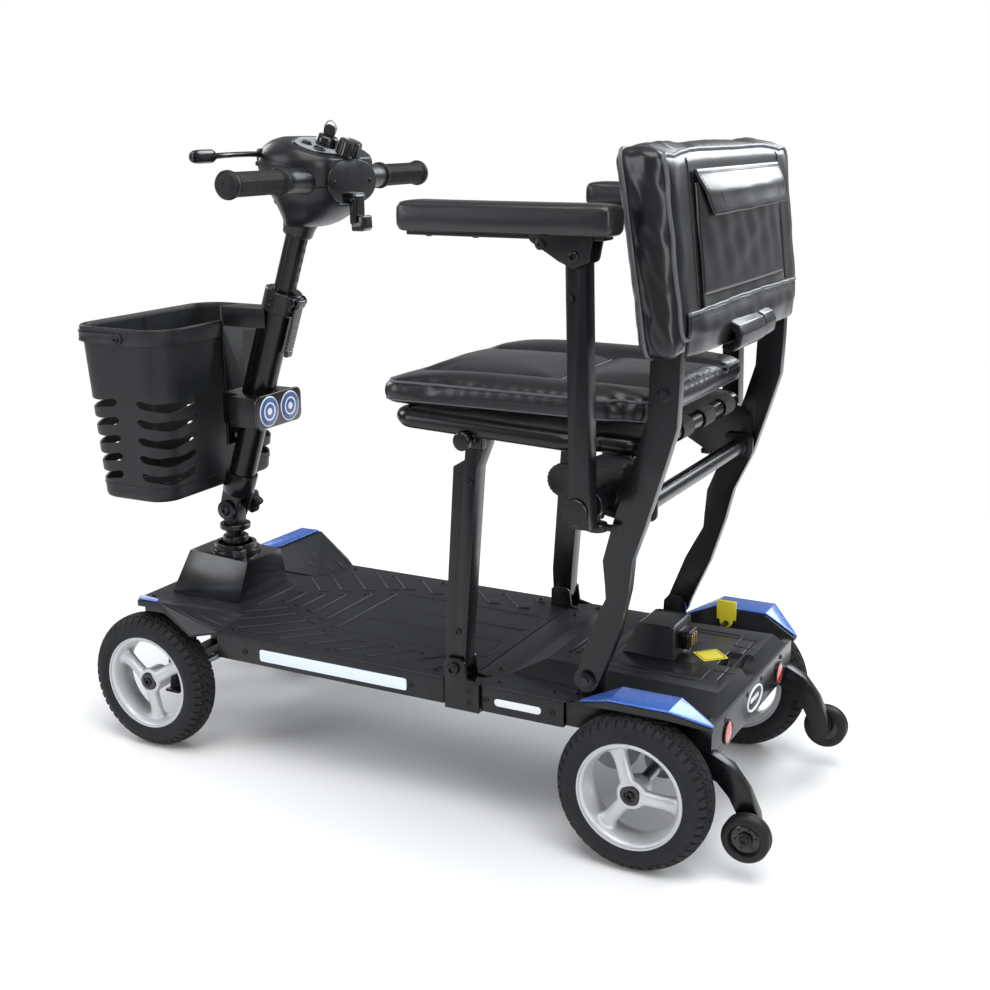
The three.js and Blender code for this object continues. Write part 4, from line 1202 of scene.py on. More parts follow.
def perforated(fn, rect, holes, thick, du, dv):
    """a sheet with holes, closed on both faces. rect (u0, u1, v0, v1) lies in its own plane,
    fn(u, v, off) gives the place, du and dv are the spacing of its inner points"""
    u0, u1, v0, v1 = rect
    nu, nv = max(2, int((u1 - u0) / du)), max(2, int((v1 - v0) / dv))
    U, V = np.linspace(u0, u1, nu + 1), np.linspace(v0, v1, nv + 1)
    pts = [(u, v0) for u in U[:-1]] + [(u1, v) for v in V[:-1]]
    pts += [(u, v1) for u in U[::-1][:-1]] + [(u0, v) for v in V[::-1][:-1]]
    edges = [(i, (i + 1) % len(pts)) for i in range(len(pts))]
    boxes = []
    for hole in holes:
        b = len(pts)
        pts += hole
        edges += [(b + i, b + (i + 1) % len(hole)) for i in range(len(hole))]
        H = np.array(hole)
        boxes.append((min(H[:, 0]) - 2, max(H[:, 0]) + 2, min(H[:, 1]) - 2, max(H[:, 1]) + 2, H))

    def near_hole(u, v, clearance):
        for a, b, c, d, H in boxes:
            if a < u < b and c < v < d and (
                    inside_poly(H, u, v)
                    or (clearance and np.min(np.hypot(H[:, 0] - u, H[:, 1] - v)) < clearance)):
                return True
        return False
    pts += [(u, v) for u in U[1:-1] for v in V[1:-1] if not near_hole(u, v, 2.2)]
    r = delaunay_2d_cdt([Vector(p) for p in pts], edges, [], 0, 1e-5)
    flat = [tuple(p) for p in r[0]]
    tris = []
    for f in r[2]:
        cx = sum(flat[i][0] for i in f) / len(f)
        cy = sum(flat[i][1] for i in f) / len(f)
        if not near_hole(cx, cy, 0):
            tris.append(tuple(f))
    n = len(flat)
    verts = [fn(u, v, 0.0) for u, v in flat] + [fn(u, v, -thick) for u, v in flat]
    faces = tris + [tuple(i + n for i in reversed(t)) for t in tris]
    used = dict.fromkeys((t[i], t[(i + 1) % len(t)]) for t in tris for i in range(len(t)))
    faces += [(b, a, a + n, b + n) for a, b in used if (b, a) not in used]
    return np.array(verts, float), faces


# ------------------------------------------------------------------ tiller and shroud
TILLER_DIR = np.array((0.0, 0.3127, 0.94985))     # up along the tiller
TILLER_OUT = np.array((0.0, 0.94985, -0.3127))    # square to it, towards the rider


def on_tiller(along, x=0, out=0):
    return np.array((x, STEM_Y, TILT_Z)) + TILLER_DIR * along + TILLER_OUT * out


def laid(part):
    """(x, along, out) to the tiller"""
    return moved(part, lambda p: on_tiller(p[1], p[0], p[2]))


def threaded(part):
    """(x, out, along) to the tiller"""
    return moved(part, lambda p: on_tiller(p[2], p[0], p[1]))


def tiller_box(x, along, out, r=1.5, n=3):
    """rounded box laid along the tiller; x is its half width"""
    return laid(rbox((-x, along[0], out[0]), (x, along[1], out[1]), r, n))


def tiller_ring(profile):
    return threaded(ring_lathe(profile, (0, 0, 0), (0, 0, 1), 64))


def shroud_and_stem():
    refine("tiller_shroud", "gloss", bevel=3.2, segs=4, angle=30, smooth=40)
    trim = Bag("shroud_trim", "front_chassis", "frame")
    for s in (1, -1):
        for y in (-815, -703):
            trim(screw((s * 54, y, 189.5), (0, 0, 1), 4.4, 1.8))
    base = (0, STEM_Y, 0)
    collar = [(27.4, 246.5), (36.2, 246.5), (37.0, 247.5), (37.0, 252.5), (36.2, 253.6),
              (27.4, 253.6)]
    trim(ring_lathe(collar, base, (0, 0, 1), 64), rbox((24, -722, 240), (40, -706, 261), 2.5),
         screw((40.2, -714, 250), (1, 0, 0), 4.2, 2.2))
    stem = Bag("stem_trim", "stem", "frame")
    for ring in ([(14.2, 262.5), (18.5, 262.5), (19.5, 263.5), (19.5, 272), (18.5, 273), (14.2, 273)],
                 [(14.2, 284), (22.4, 284), (23.4, 285.2), (23.4, 291), (22.4, 292.2),
                  (14.2, 292.2)]):
        stem(ring_lathe(ring, base, (0, 0, 1), 56))
    stem(screw((22.0, STEM_Y, TILT_Z), (1, 0, 0), 8.0, 4.2))


def lower_tube():
    """tube with its rail, clamp collar and hinge cheeks"""
    parts = [tube([on_tiller(a) for a in (26.5, 40, 352, 355.5)], 20, 56, domed=False)]
    cheek = round_poly([(-14.5, -14), (-14.5, 14), (36, 17), (62, 15), (62, -15), (36, -17)], 6)
    for s in (1, -1):
        parts.append(laid(mirrored(plate(cheek, 11.7, 17.2, "x", 1.2, 3), s)))
    parts.append(tiller_box(8.2, (118, 353), (-28.5, -13), 2.2))
    for k in range(7):
        ring = [(3.0, -0.2), (4.6, -0.2), (4.4, 0.9), (3.2, 0.9)]
        parts.append(ring_lathe(ring, on_tiller(138 + 31 * k, 0, -28.6), -TILLER_OUT, 24))
    parts.append(tiller_ring([(20, 322), (25.4, 322), (26.6, 323.2), (26.6, 352.6), (25.4, 354),
                              (20, 354)]))
    parts.append(tiller_box(15.5, (330, 351), (18, 27), 2.4))
    parts.append(tiller_ring([(20, 27), (23, 27), (23.8, 28), (23.8, 60), (23, 61), (20, 61)]))
    make("tiller_lower_tube", parts, "frame", "tiller", 40, ("lower_tiller_tube",))
    bag = Bag("tiller_screws", "tiller", "black_bolt")
    # head kind, place along, x, out, radius, height
    for head, along, x, out, r, h in ((screw, 32, 17.3, 0, 4.6, 2.4), (screw, 46, 17.3, 0, 4.6, 2.4),
                                      (screw, 332, 26.6, 0, 3.6, 2.0),
                                      (screw, 342, 26.6, 0, 3.6, 2.0),
                                      (hexbolt, 345, 15.4, 23, 5.2, 3.4)):
        for s in (1, -1):
            bag(head(on_tiller(along, s * x, out), (s, 0, 0), r, h))


def upper_tube():
    parts = [tube([on_tiller(a) for a in (188.5, 200, 440, 451.5)], 16, 48, domed=False)]
    for k in range(6):
        ring = [(2.6, -0.5), (4.0, -0.5), (3.8, 0.5), (2.8, 0.5)]
        parts.append(ring_lathe(ring, on_tiller(362 + 14 * k, 0, 16.0), TILLER_OUT, 20))
    make("tiller_upper_tube", parts, "frame", "head", 40, ("upper_tiller_tube",))


def clamp_lever():
    parts = [tiller_box(10, (268, 338), (27.4, 31.2), 1.6),
             tiller_box(10, (338, 350.5), (25, 34.5), 3, 4),
             tiller_box(7.5, (262, 272), (27, 33.5), 2.4)]
    for k in range(8):
        parts.append(tiller_box(8.4, (276 + 5.2 * k, 278.4 + 5.2 * k), (30.6, 32.2), 0.7, 2))
    make("clamp_lever", parts, "gloss", "height_lever", 40, ("height_clamp_lever",))


def star_knob(n=120):
    # share of the lobed radius, distance from the middle plane
    profile = [(0.0, 33.6), (0.72, 33.8), (0.9, 34.6), (1.0, 37.0), (1.0, 48.5), (0.96, 50.6),
               (0.86, 51.8), (0.6, 52.2), (0.3, 50.6), (0.0, 50.4)]
    verts = []
    for share, h in profile:
        for i in range(n):
            t = 2 * math.pi * i / n
            r = share * (15.5 + 2.6 * math.cos(5 * t))
            verts.append((-h, STEM_Y + r * math.cos(t), TILT_Z + r * math.sin(t)))
    shank = cyl((-24, STEM_Y, TILT_Z), (-36, STEM_Y, TILT_Z), 8.5, bev=1.0)
    make("tilt_star_knob", [(np.array(verts), loft_faces(len(profile), n)), shank], "rubber",
         "tilt_lock", 40, ("tilt_knob",))
    make("tilt_star_knob_cap", screw((-50.6, STEM_Y, TILT_Z), (-1, 0, 0), 6.0, 2.0), "steel",
         "tilt_lock")


shroud_and_stem()
lower_tube()
upper_tube()
clamp_lever()
star_knob()


# ------------------------------------------------------------------ basket
# A tapered tub with a rolled rim and wavy slots wrapped round the corners.
BASKET_Z = (350, 604)
# values at the bottom and at the top: half width, front y, rear y, corner radius
BASKET_TAPER = ((136, 155), (-890, -902), (-760, -735), (36, 42))
BAIL_Y, BAIL_Z = -811, 590      # bail handle pivots


def basket_dims(z):
    t = (z - BASKET_Z[0]) / (BASKET_Z[1] - BASKET_Z[0])
    return [a + (b - a) * t for a, b in BASKET_TAPER]


# wall lengths at mid height: flats and corners in turn, from the front flat
half_w, front_y, rear_y_, corner_r = basket_dims(480)
WALLS = [2 * (half_w - corner_r), math.pi / 2 * corner_r,
         rear_y_ - front_y - 2 * corner_r, math.pi / 2 * corner_r] * 2
WALL_STARTS = np.concatenate([[0], np.cumsum(WALLS)])
PERIMETER = WALL_STARTS[-1]


def basket_wall(s, z, off):
    """s runs along the front wall towards +x, round the corner, rearwards, and so on"""
    a, y0, y1, r = basket_dims(z)
    s = s % PERIMETER
    k = min(7, int(np.searchsorted(WALL_STARTS, s, "right") - 1))
    t = (s - WALL_STARTS[k]) / WALLS[k]
    if k == 0:
        p, n = (-(a - r) + 2 * (a - r) * t, y0), (0, -1)
    elif k == 2:
        p, n = (a, y0 + r + (y1 - y0 - 2 * r) * t), (1, 0)
    elif k == 4:
        p, n = ((a - r) - 2 * (a - r) * t, y1), (0, 1)
    elif k == 6:
        p, n = (-a, y1 - r - (y1 - y0 - 2 * r) * t), (-1, 0)
    else:
        quarter = (k - 1) // 2
        c = [(a - r, y0 + r), (a - r, y1 - r), (-a + r, y1 - r), (-a + r, y0 + r)][quarter]
        ang = math.radians(-90 + 90 * quarter + 90 * t)
        n = (math.cos(ang), math.sin(ang))
        p = (c[0] + r * n[0], c[1] + r * n[1])
    return (p[0] + n[0] * off, p[1] + n[1] * off, z)


def wavy_slot(middle, z, half, h=7.6, wave=6.5, n=26):
    """outline of a slot whose ends rise by the wave"""
    top, bottom = [], []
    for i in range(n + 1):
        t = -1 + 2 * i / n
        zc = z + wave * (t * t) ** 0.9 - wave * 0.4
        dz = h * math.sqrt(max(0.0, 1 - abs(t) ** 7)) * (0.86 + 0.14 * math.cos(t * math.pi * 2))
        top.append((middle + half * t, zc + dz))
        bottom.append((middle + half * t, zc - dz))
    return bottom + top[1:-1][::-1]


def basket_moulding(section, z, n=176):
    """a closed moulding with section [(outwards, up)] that follows the wall"""
    verts = [basket_wall(PERIMETER * i / n, z + up, out) for i in range(n) for out, up in section]
    return np.array(verts, float), loft_faces(n, len(section), closed=True)


def basket_tub():
    seam = WALLS[0] / 2     # the sheet is cut in the middle of the front wall
    holes = []
    # corner's wall index, shift of the slots, half length; the rear slots sit nearer the rear
    for corner, offset, half in ((1, 0, 59), (3, 13, 53), (5, -13, 53), (7, 0, 59)):
        middle = (WALL_STARTS[corner] + WALL_STARTS[corner + 1]) / 2 + offset
        for k in range(5):
            outline = wavy_slot(middle, 386 + 27 * k, half - (3 if k == 0 else 0))
            holes.append([((s - seam) % PERIMETER, z) for s, z in outline])
    parts = [perforated(lambda s, z, o: basket_wall(s + seam, z, o), (0, PERIMETER, 354, 600),
                        holes, 3.0, 6.5, 8.0)]
    floor_holes = [round_rect(x - 4.2, x + 4.2, y0, y1, 4)
                   for x in range(-75, 76, 30) for y0, y1 in ((-866, -832), (-818, -782))]
    parts.append(perforated(lambda x, y, o: (x, y, 353.5 + o), (-106, 106, -884, -766),
                            floor_holes, 3.2, 14, 14))
    rim = [(-3.4, -1), (-3.4, 6.0), (-2.0, 7.6), (1.6, 7.6), (3.0, 6.4), (3.4, 4.6), (3.4, -14),
           (2.6, -15.6), (1.5, -15.6), (1.0, -14), (1.0, -1.0), (0.2, -1.4), (-3.0, -1.4)]
    # rounded turn from the wall to the floor
    foot = [(0.1, 6), (0.1, 0.5), (-1.2, -2.6), (-3.8, -4.0), (-30, -4.0), (-44, -3.6),
            (-44, -1.0), (-6, -1.0), (-3.6, 1.0), (-2.9, 6)]
    low_rib = [(-0.2, -1.0), (0.8, -0.7), (1.1, 0), (0.8, 0.7), (-0.2, 1.0)]
    parts += [basket_moulding(rim, 598), basket_moulding(foot, 354), basket_moulding(low_rib, 371)]
    make("basket_tub", parts, "basket", "tiller", 42, ("basket",))
    pivots = Bag("basket_pivots", "tiller", "black_bolt")
    for s in (1, -1):
        pivots(screw((s * 160.9, BAIL_Y, BAIL_Z), (s, 0, 0), 4.6, 2.4))
    pivots(cyl((151, BAIL_Y, BAIL_Z), (161, BAIL_Y, BAIL_Z), 3.7, 24),
           cyl((-161, BAIL_Y, BAIL_Z), (-151, BAIL_Y, BAIL_Z), 3.7, 24))


def bail_handle():
    """flat bow lying round the front rim"""
    x, y, z = 158.4, -905.8, BAIL_Z + 0.5
    path = fillet([(x, BAIL_Y, z), (x, y, z), (-x, y, z), (-x, BAIL_Y, z)], 46, 18)
    section = [(-1.7, -7.2), (1.1, -7.2), (1.8, -5.6), (2.0, 0), (1.8, 5.6), (1.1, 7.2),
               (-1.7, 7.2), (-2.0, 5.8), (-1.0, 4.6), (-1.0, -4.6), (-2.0, -5.8)]
    parts = [sweep(path, section, False, (0, 0, 1))]
    eye = [(4.2, -2.0), (8.2, -2.0), (8.8, -1.2), (8.8, 1.2), (8.2, 2.0), (4.2, 2.0)]
    for s in (1, -1):
        parts.append(ring_lathe(eye, (s * x, BAIL_Y, z), (1, 0, 0), 40))
    for k in range(9):
        rx = -40 + 10 * k
        parts.append(rbox((rx - 2.2, -908.4, 584.5), (rx + 2.2, -906.6, 596.5), 0.7, 2))
    make("basket_bail_handle", parts, "basket", "basket_bail", 42, ("basket_handle",))


def basket_bracket():
    """bracket between basket and tube, with two plain round stickers"""
    refine("basket_bracket", "frame", bevel=2.2, segs=3, angle=40, smooth=45)
    bag = Bag("bracket_screws", "tiller", "black_bolt")
    for x in (-16, 16):
        for z in (604, 620):
            bag(screw((x, -733.2, z), (0, -1, 0), 4.0, 2.2))
    for z in (464, 492):
        for s in (1, -1):
            bag(screw((s * 31.2, -712, z), (s, 0, 0), 3.4, 1.8))
    Bag("sticker_plate", "tiller", "gloss", 40)(
        plate(round_rect(-56, 56, 453, 503, 12, 8), -656, -651.6, "y", 1.2, 3))
    for i, x in enumerate((-25.5, 25.5)):
        centre, axis = (x, -651.5, 478), (0, 1, 0)
        for color, r, h in (("white", 22.4, 0.8), ("blue", 20.6, 1.3)):
            disc = [(0, -0.4), (r, -0.4), (r, h - 0.3), (r - 0.4, h), (0, h)]
            make(f"round_sticker_{color}_{i}", lathe(disc, centre, axis, 64), color + "_label",
                 "tiller")
        ring = [(11.2, 0.6), (13.6, 0.6), (13.6, 1.6), (11.2, 1.6)]
        dot = [(0, 0.6), (5.2, 0.6), (5.2, 1.6), (0, 1.6)]
        make(f"round_sticker_mark_{i}",
             [ring_lathe(ring, centre, axis, 64), lathe(dot, centre, axis, 40)],
             "white_label", "tiller")


basket_tub()
bail_handle()
basket_bracket()

# ------------------------------------------------------------------ head shell
BAR_Y, BAR_Z = -546, 810        # handlebar axis
# stations of the shell: z, centre y, half width, half depth
HEAD_Z, HEAD_Y, HEAD_WIDTH, HEAD_DEPTH = np.array([
    (742, -592, 32, 26), (752, -580, 42, 36), (768, -570, 54, 50), (783, -566, 66, 58),
    (800, -568, 76, 64), (820, -571, 83, 68), (838, -573, 83, 68), (852, -575, 74, 60),
    (862, -578, 56, 46), (868, -582, 34, 30)], float).T
PANEL_MIDDLE = np.array((0, -560, 855))
PANEL_NORMAL = np.array((0, 0.342, 0.94))
PANEL_DOWN = np.array((0, 0.94, -0.342))    # down the slope, towards the rider


def station_value(z, column):
    """cubic interpolation between the head stations"""
    i = np.clip(np.searchsorted(HEAD_Z, z) - 1, 0, len(HEAD_Z) - 2)
    h = HEAD_Z[i + 1] - HEAD_Z[i]
    t = np.clip((z - HEAD_Z[i]) / h, 0, 1)
    slope = np.gradient(column, HEAD_Z)
    return ((2 * t ** 3 - 3 * t ** 2 + 1) * column[i] + (t ** 3 - 2 * t ** 2 + t) * slope[i] * h
            + (-2 * t ** 3 + 3 * t ** 2) * column[i + 1] + (t ** 3 - t ** 2) * slope[i + 1] * h)


def smooth_max(a, b, k):
    h = np.clip(0.5 + 0.5 * (a - b) / k, 0, 1)
    return b + (a - b) * h + k * h * (1 - h)


def head_field(p):
    """negative inside the shell"""
    x, y, z = p[:, 0], p[:, 1], p[:, 2]
    zc = np.clip(z, HEAD_Z[0], HEAD_Z[-1])
    a, b = station_value(zc, HEAD_WIDTH), station_value(zc, HEAD_DEPTH)
    e = 2.45
    q = (np.abs(x / a) ** e + np.abs((y - station_value(zc, HEAD_Y)) / b) ** e) ** (1 / e)
    f = (q - 1) * np.minimum(a, b)
    f = smooth_max(f, z - 866.5, 6.0)
    f = smooth_max(f, 744.0 - z, 8.0)
    f = smooth_max(f, y + 513.2, 3.0)
    return smooth_max(f, (y + 560) * 0.342 + (z - 855) * 0.94, 2.4)


def radial(centre, field, n, reach, halvings):
    """surface of a star-shaped field (negative inside) seen from centre, on a cube-sphere grid"""
    c = np.asarray(centre, float)
    index, dirs, faces = {}, [], []
    s = np.tan(np.linspace(-math.pi / 4, math.pi / 4, n + 1))
    for axis in range(3):
        for sign in (-1, 1):
            g = np.zeros((n + 1, n + 1), int)
            for i in range(n + 1):
                for j in range(n + 1):
                    d = [0, 0, 0]
                    d[axis] = sign
                    d[(axis + 1) % 3] = s[i]
                    d[(axis + 2) % 3] = s[j]
                    key = tuple(round(x, 6) for x in d)
                    if key not in index:
                        index[key] = len(dirs)
                        dirs.append(d)
                    g[i, j] = index[key]
            for i in range(n):
                for j in range(n):
                    q = (g[i, j], g[i + 1, j], g[i + 1, j + 1], g[i, j + 1])
                    faces.append(q if sign > 0 else q[::-1])
    D = np.array(dirs, float)
    D /= np.linalg.norm(D, axis=1)[:, None]
    near, far = np.zeros(len(D)), np.full(len(D), float(reach))
    for _ in range(halvings):
        m = (near + far) / 2
        inside = field(c + D * m[:, None]) < 0
        near, far = np.where(inside, m, near), np.where(inside, far, m)
    return c + D * near[:, None], faces


shell = raw("head_shell", radial((0, -572, 808), head_field, 72, 200, 26))
press_groove(shell, (0, 0, 800.2), (0, 0, 1), width=1.8, depth=1.3)
finish_object(shell, "shell", "head", 40, ("head_lower_shell", "head_upper_shell"))
bar_collar = [(11.6, 60), (15.2, 60), (19.6, 64), (19.2, 72), (17.6, 82), (16.9, 92), (16.6, 104),
              (16.6, 117.6), (15.6, 119.2), (11.6, 119.2)]
neck = [(16.4, 437), (19.8, 437), (21.2, 438.6), (21.8, 444), (23.5, 452), (28, 463), (16.4, 463)]
make("head_collars", [lathe(bar_collar, (0, BAR_Y, BAR_Z), (s, 0, 0), 56) for s in (1, -1)]
     + [threaded(lathe(neck, (0, 0, 0), (0, 0, 1), 56))], "shell", "head", 40)
head_screws = Bag("head_screws", "head", "black_bolt")
for s in (1, -1):
    head_screws(screw((s * 38, -548, 764.5), (s * 0.55, 0.3, -0.78), 3.6, 1.6),
                screw((s * 40, -613, 778), (s * 0.6, -0.5, -0.6), 3.6, 1.6),
                screw((s * 108, BAR_Y, 793.6), (0, 0, -1), 2.8, 1.4))


# ------------------------------------------------------------------ instrument panel
def on_panel(x, d, h=0.0):
    """x across, d down the slope from the panel's middle, h above it"""
    return PANEL_MIDDLE + np.array((x, 0, 0)) + PANEL_DOWN * d + PANEL_NORMAL * h


def onto_panel(part, d=0.0):
    return moved(part, lambda p: on_panel(p[0], d + p[1], p[2]))


def panel_plate(pts, h0, h1, r=0.5, n=2):
    return onto_panel(plate(pts, h0, h1, "z", r, n))


def panel_face():
    make("instrument_panel", panel_plate(ellipse(0, 6, 57, 32), -1.0, 1.0, 0.6, 3), "panel", "head")
    section = [(-1.6, -1.0), (1.6, -1.0), (1.6, 0.7), (0.8, 1.5), (-0.8, 1.5), (-1.6, 0.7)]
    loop = [(x, d, 0) for x, d in ellipse(0, 6, 58.4, 33.4, 96)]
    make("instrument_panel_bezel", onto_panel(sweep(loop, section, True, (0, 0, 1))), "gloss",
         "head")
    controls = Bag("panel_controls", "head", "gloss")
    controls(panel_plate(round_rect(-47, -19, -10, 2, 3), 0.6, 2.2, 0.7, 3))
    lamps = [panel_plate(ellipse(-42.6 + 5.0 * k, -4, 1.6, 2.8, 20, 3), 2.0, 2.7, 0.2, 1)
             for k in range(5)]
    make("gauge_lamps", lamps[:2], "red", "head")
    make("gauge_lamps_green", lamps[2:], "strip", "head")
    # round button and its base, switch, then a rounded boss with a small bar across it
    for outline, h0, h1, r, n in ((ellipse(33, -4, 8.2, 8.2, 40, 2), 0.6, 2.4, 0.8, 3),
                                  (ellipse(33, -4, 6.2, 6.2, 40, 2), 2.2, 4.6, 1.2, 4),
                                  (round_rect(-38, -24, 14, 23, 2, 4), 0.6, 4.0, 1.0, 3),
                                  (ellipse(35, 20, 8.6, 7.4, 40, 2.2), 0.6, 3.4, 1.0, 3),
                                  (round_rect(30, 40, 12, 15, 1, 3), 1, 4.4, 0.7, 2)):
        controls(panel_plate(outline, h0, h1, r, n))
    marks = []
    for k in range(3, 8):
        a = math.radians(-140 + 28 * k)
        c, s = math.sin(a), -math.cos(a)
        x, d = 21.5 * c, 41 + 21.5 * s
        L = 3.0 if k % 2 == 0 else 1.8
        marks.append(panel_plate([(x - 0.5 * s, d + 0.5 * c), (x + 0.5 * s, d - 0.5 * c),
                                  (x + L * c + 0.5 * s, d + L * s - 0.5 * c),
                                  (x + L * c - 0.5 * s, d + L * s + 0.5 * c)], 0.9, 1.25, 0.05, 1))
    make("dial_tick_marks", marks, "white_label", "head")


def ignition_key(d=6):
    """round barrel with a bow and wire ring"""
    barrel = [(0, 0.5), (15.2, 0.5), (15.6, 2), (15.0, 9), (14.4, 13), (12.6, 15), (9, 15.8),
              (0, 16)]
    make("key_barrel", lathe(barrel, on_panel(0, d), PANEL_NORMAL, 64), "gloss", "key", 40,
         ("ignition_key",))
    bow = round_poly([(-8, 15.6), (8, 15.6), (9.5, 22), (6, 30), (-6, 30), (-9.5, 22)], 3.5, 6)
    make("key_bow", onto_panel(plate(bow, -1.9, 1.9, "x", 0.8, 3), d), "rubber", "key", 40)
    ring = [on_panel(0, d + 9.5 * math.cos(t), 26.0 + 9.5 * math.sin(t)) for t in turn(40)]
    make("key_wire_ring", tube(ring, 1.1, 12, closed=True), "steel", "key")


def speed_dial(d=43, n=96):
    """knob with a ribbed rim, and its pointer"""
    # radius, height, ribbed or not
    rows = [(16.6, 0.6, 0), (17.2, 1.4, 0), (16.6, 5, 1), (16.0, 18.5, 1), (15.4, 20.6, 0),
            (13.6, 21.8, 0), (9, 22.2, 0), (4, 22.0, 0)]
    verts = []
    for r, h, ribbed in rows:
        for i in range(n):
            t = 2 * math.pi * i / n
            rr = r - ribbed * 0.8 * (0.5 + 0.5 * math.cos(16 * t))
            verts.append(on_panel(rr * math.cos(t), d + rr * math.sin(t), h))
    make("speed_dial_knob", (np.array(verts), loft_faces(len(rows), n, caps=True)), "gloss",
         "dial", 40, ("speed_dial",))
    pointer = plate(round_rect(-1.2, 1.2, -14, -4, 0.8, 3), 21.6, 22.6, "z", 0.25)
    make("speed_dial_pointer", onto_panel(pointer, d), "white_label", "dial")


def head_rear():
    """plate and strip on the rear of the head, and the bag hook"""
    make("head_rear_plate", plate(ellipse(0, 806, 60, 30, 72, 2.2), -513.6, -511.9, "y", 0.7, 3),
         "gloss", "head")
    for x in (-44, 44):
        head_screws(screw((x, -512.2, 806), (0, 1, 0), 3.4, 1.6))
    strip = round_poly([(-30, 776.5), (30, 776.5), (28, 783), (-28, 783)], 2, 4)
    make("head_rear_strip", plate(strip, -520, -512.6, "y", 0.8, 3), "blue_grey", "head")
    hook = round_poly([(-509, 740), (-509, 752), (-498, 752), (-497, 761), (-489.6, 761),
                       (-488.6, 744), (-492, 740)], 2.2, 4)
    make("bag_hook_body", [rbox((-13, -511.6, 748), (13, -500.5, 790), 4.0, 4),
                           plate(hook, -11.5, 11.5, "x", 1.4, 3),
                           cyl((-15.5, -507, 786), (15.5, -507, 786), 5.6, bev=1.4)],
         "gloss", "hook", 40, ("bag_hook",))


def handlebar():
    bar = [(x, BAR_Y, BAR_Z) for x in (-225.5, -224, 224, 225.5)]
    make("handlebar_tube", tube(bar, 11, 40, domed=False), "frame", "head", 40, ("handlebar",))
    # ribbed grip with a bulbous end
    grip = [(11.5, 120.4), (17.6, 120.4), (18.6, 121.4), (18.8, 124.5), (17.6, 127.0), (15.6, 128)]
    for k in range(21):
        x = 129 + 4.4 * k
        grip += [(15.9, x), (16.0, x + 0.9), (15.0, x + 1.7), (14.9, x + 2.7), (15.8, x + 3.5)]
    grip += [(15.8, 222.2), (15.0, 223.5), (16.4, 225.0), (18.0, 227.2), (18.6, 230.4),
             (18.2, 233.6), (16.4, 236.2), (12.6, 237.8), (6.4, 238.4), (3.6, 238.2),
             (3.2, 237.4), (0, 237.2)]
    for s, side in SIDES:
        part = lathe(grip, (0, BAR_Y, BAR_Z), (s, 0, 0), 72)
        make(side + "_hand_grip", fluted(part, BAR_Y, BAR_Z, 12, (128, 221)), "rubber", "head", 50,
             (side + "_grip",))


def throttle(m=28):
    """hub, curved rod and a flat paddle"""
    x, y = 62, -616
    hub = [(0, 834.4), (7.4, 834.4), (8.0, 835.4), (8.0, 847), (7.0, 850), (4, 851), (0, 851.2)]
    rod = [(x, y, 843.4), (100, -610, 844.2), (150, -600, 844.4), (196, -592, 844)]
    verts = []
    for i in range(m + 1):
        t = -1 + 2 * i / m
        size = max(0.0, 1 - abs(t) ** 4.5) ** 0.5 * (0.55 + 0.45 * min(1.0, (t + 1) / 0.5))
        for j in range(m):
            a = 2 * math.pi * j / m
            dy = 5.2 * size * signed_pow(math.cos(a), 2 / 3.0)
            dz = 8.6 * size * signed_pow(math.sin(a), 2 / 3.0)
            verts.append((218 + 31 * t, -590 - 1.6 * t * t + 3 * t + dy, 844 + dz))
    make("throttle_paddle", [lathe(hub, (x, y, 0), (0, 0, 1), 40),
                             tube(fillet(rod, 60, 8), 3.7, 20),
                             (np.array(verts), loft_faces(m + 1, m))],
         "gloss", "throttle", 50, ("throttle_lever",))
    head_screws(cyl((x, y, 828), (x, y, 834.2), 10, bev=1.2))


panel_face()
ignition_key()
speed_dial()
head_rear()
handlebar()
throttle()


# ------------------------------------------------------------------ seat linkage and frame
ARM_Y, ARM_Z = -50, 462         # armrest pivot
CROSS_Y, CROSS_Z = -8, 450      # cross tube axis
RAIL_FRONT = (-330, 530)        # y, z of the seat frame's front rail
RAIL_REAR = (-15, 516)
PLUNGER = (-230, 512)           # y, z of the plunger at the top of the front leg


def lock_knob(s, side, y=-97, z=478):
    """fluted disc on a plunger"""
    disc = [(0, 197.5), (9, 197.5), (9, 200), (19.4, 200.4), (20.2, 201.4), (20.2, 208.2),
            (19.2, 209.6), (16.0, 210.3), (14.6, 209.2), (0, 209.0)]
    part = lathe(disc, (0, y, z), (s, 0, 0), 96)
    make(side + "_lock_knob", [fluted(part, y, z, 24, (201, 209.7), 18),
                               cyl((s * 186.2, y, z), (s * 199, y, z), 4, 24)],
         "rubber", side + "_lock", 45, (side + "_fold_lock_knob",))


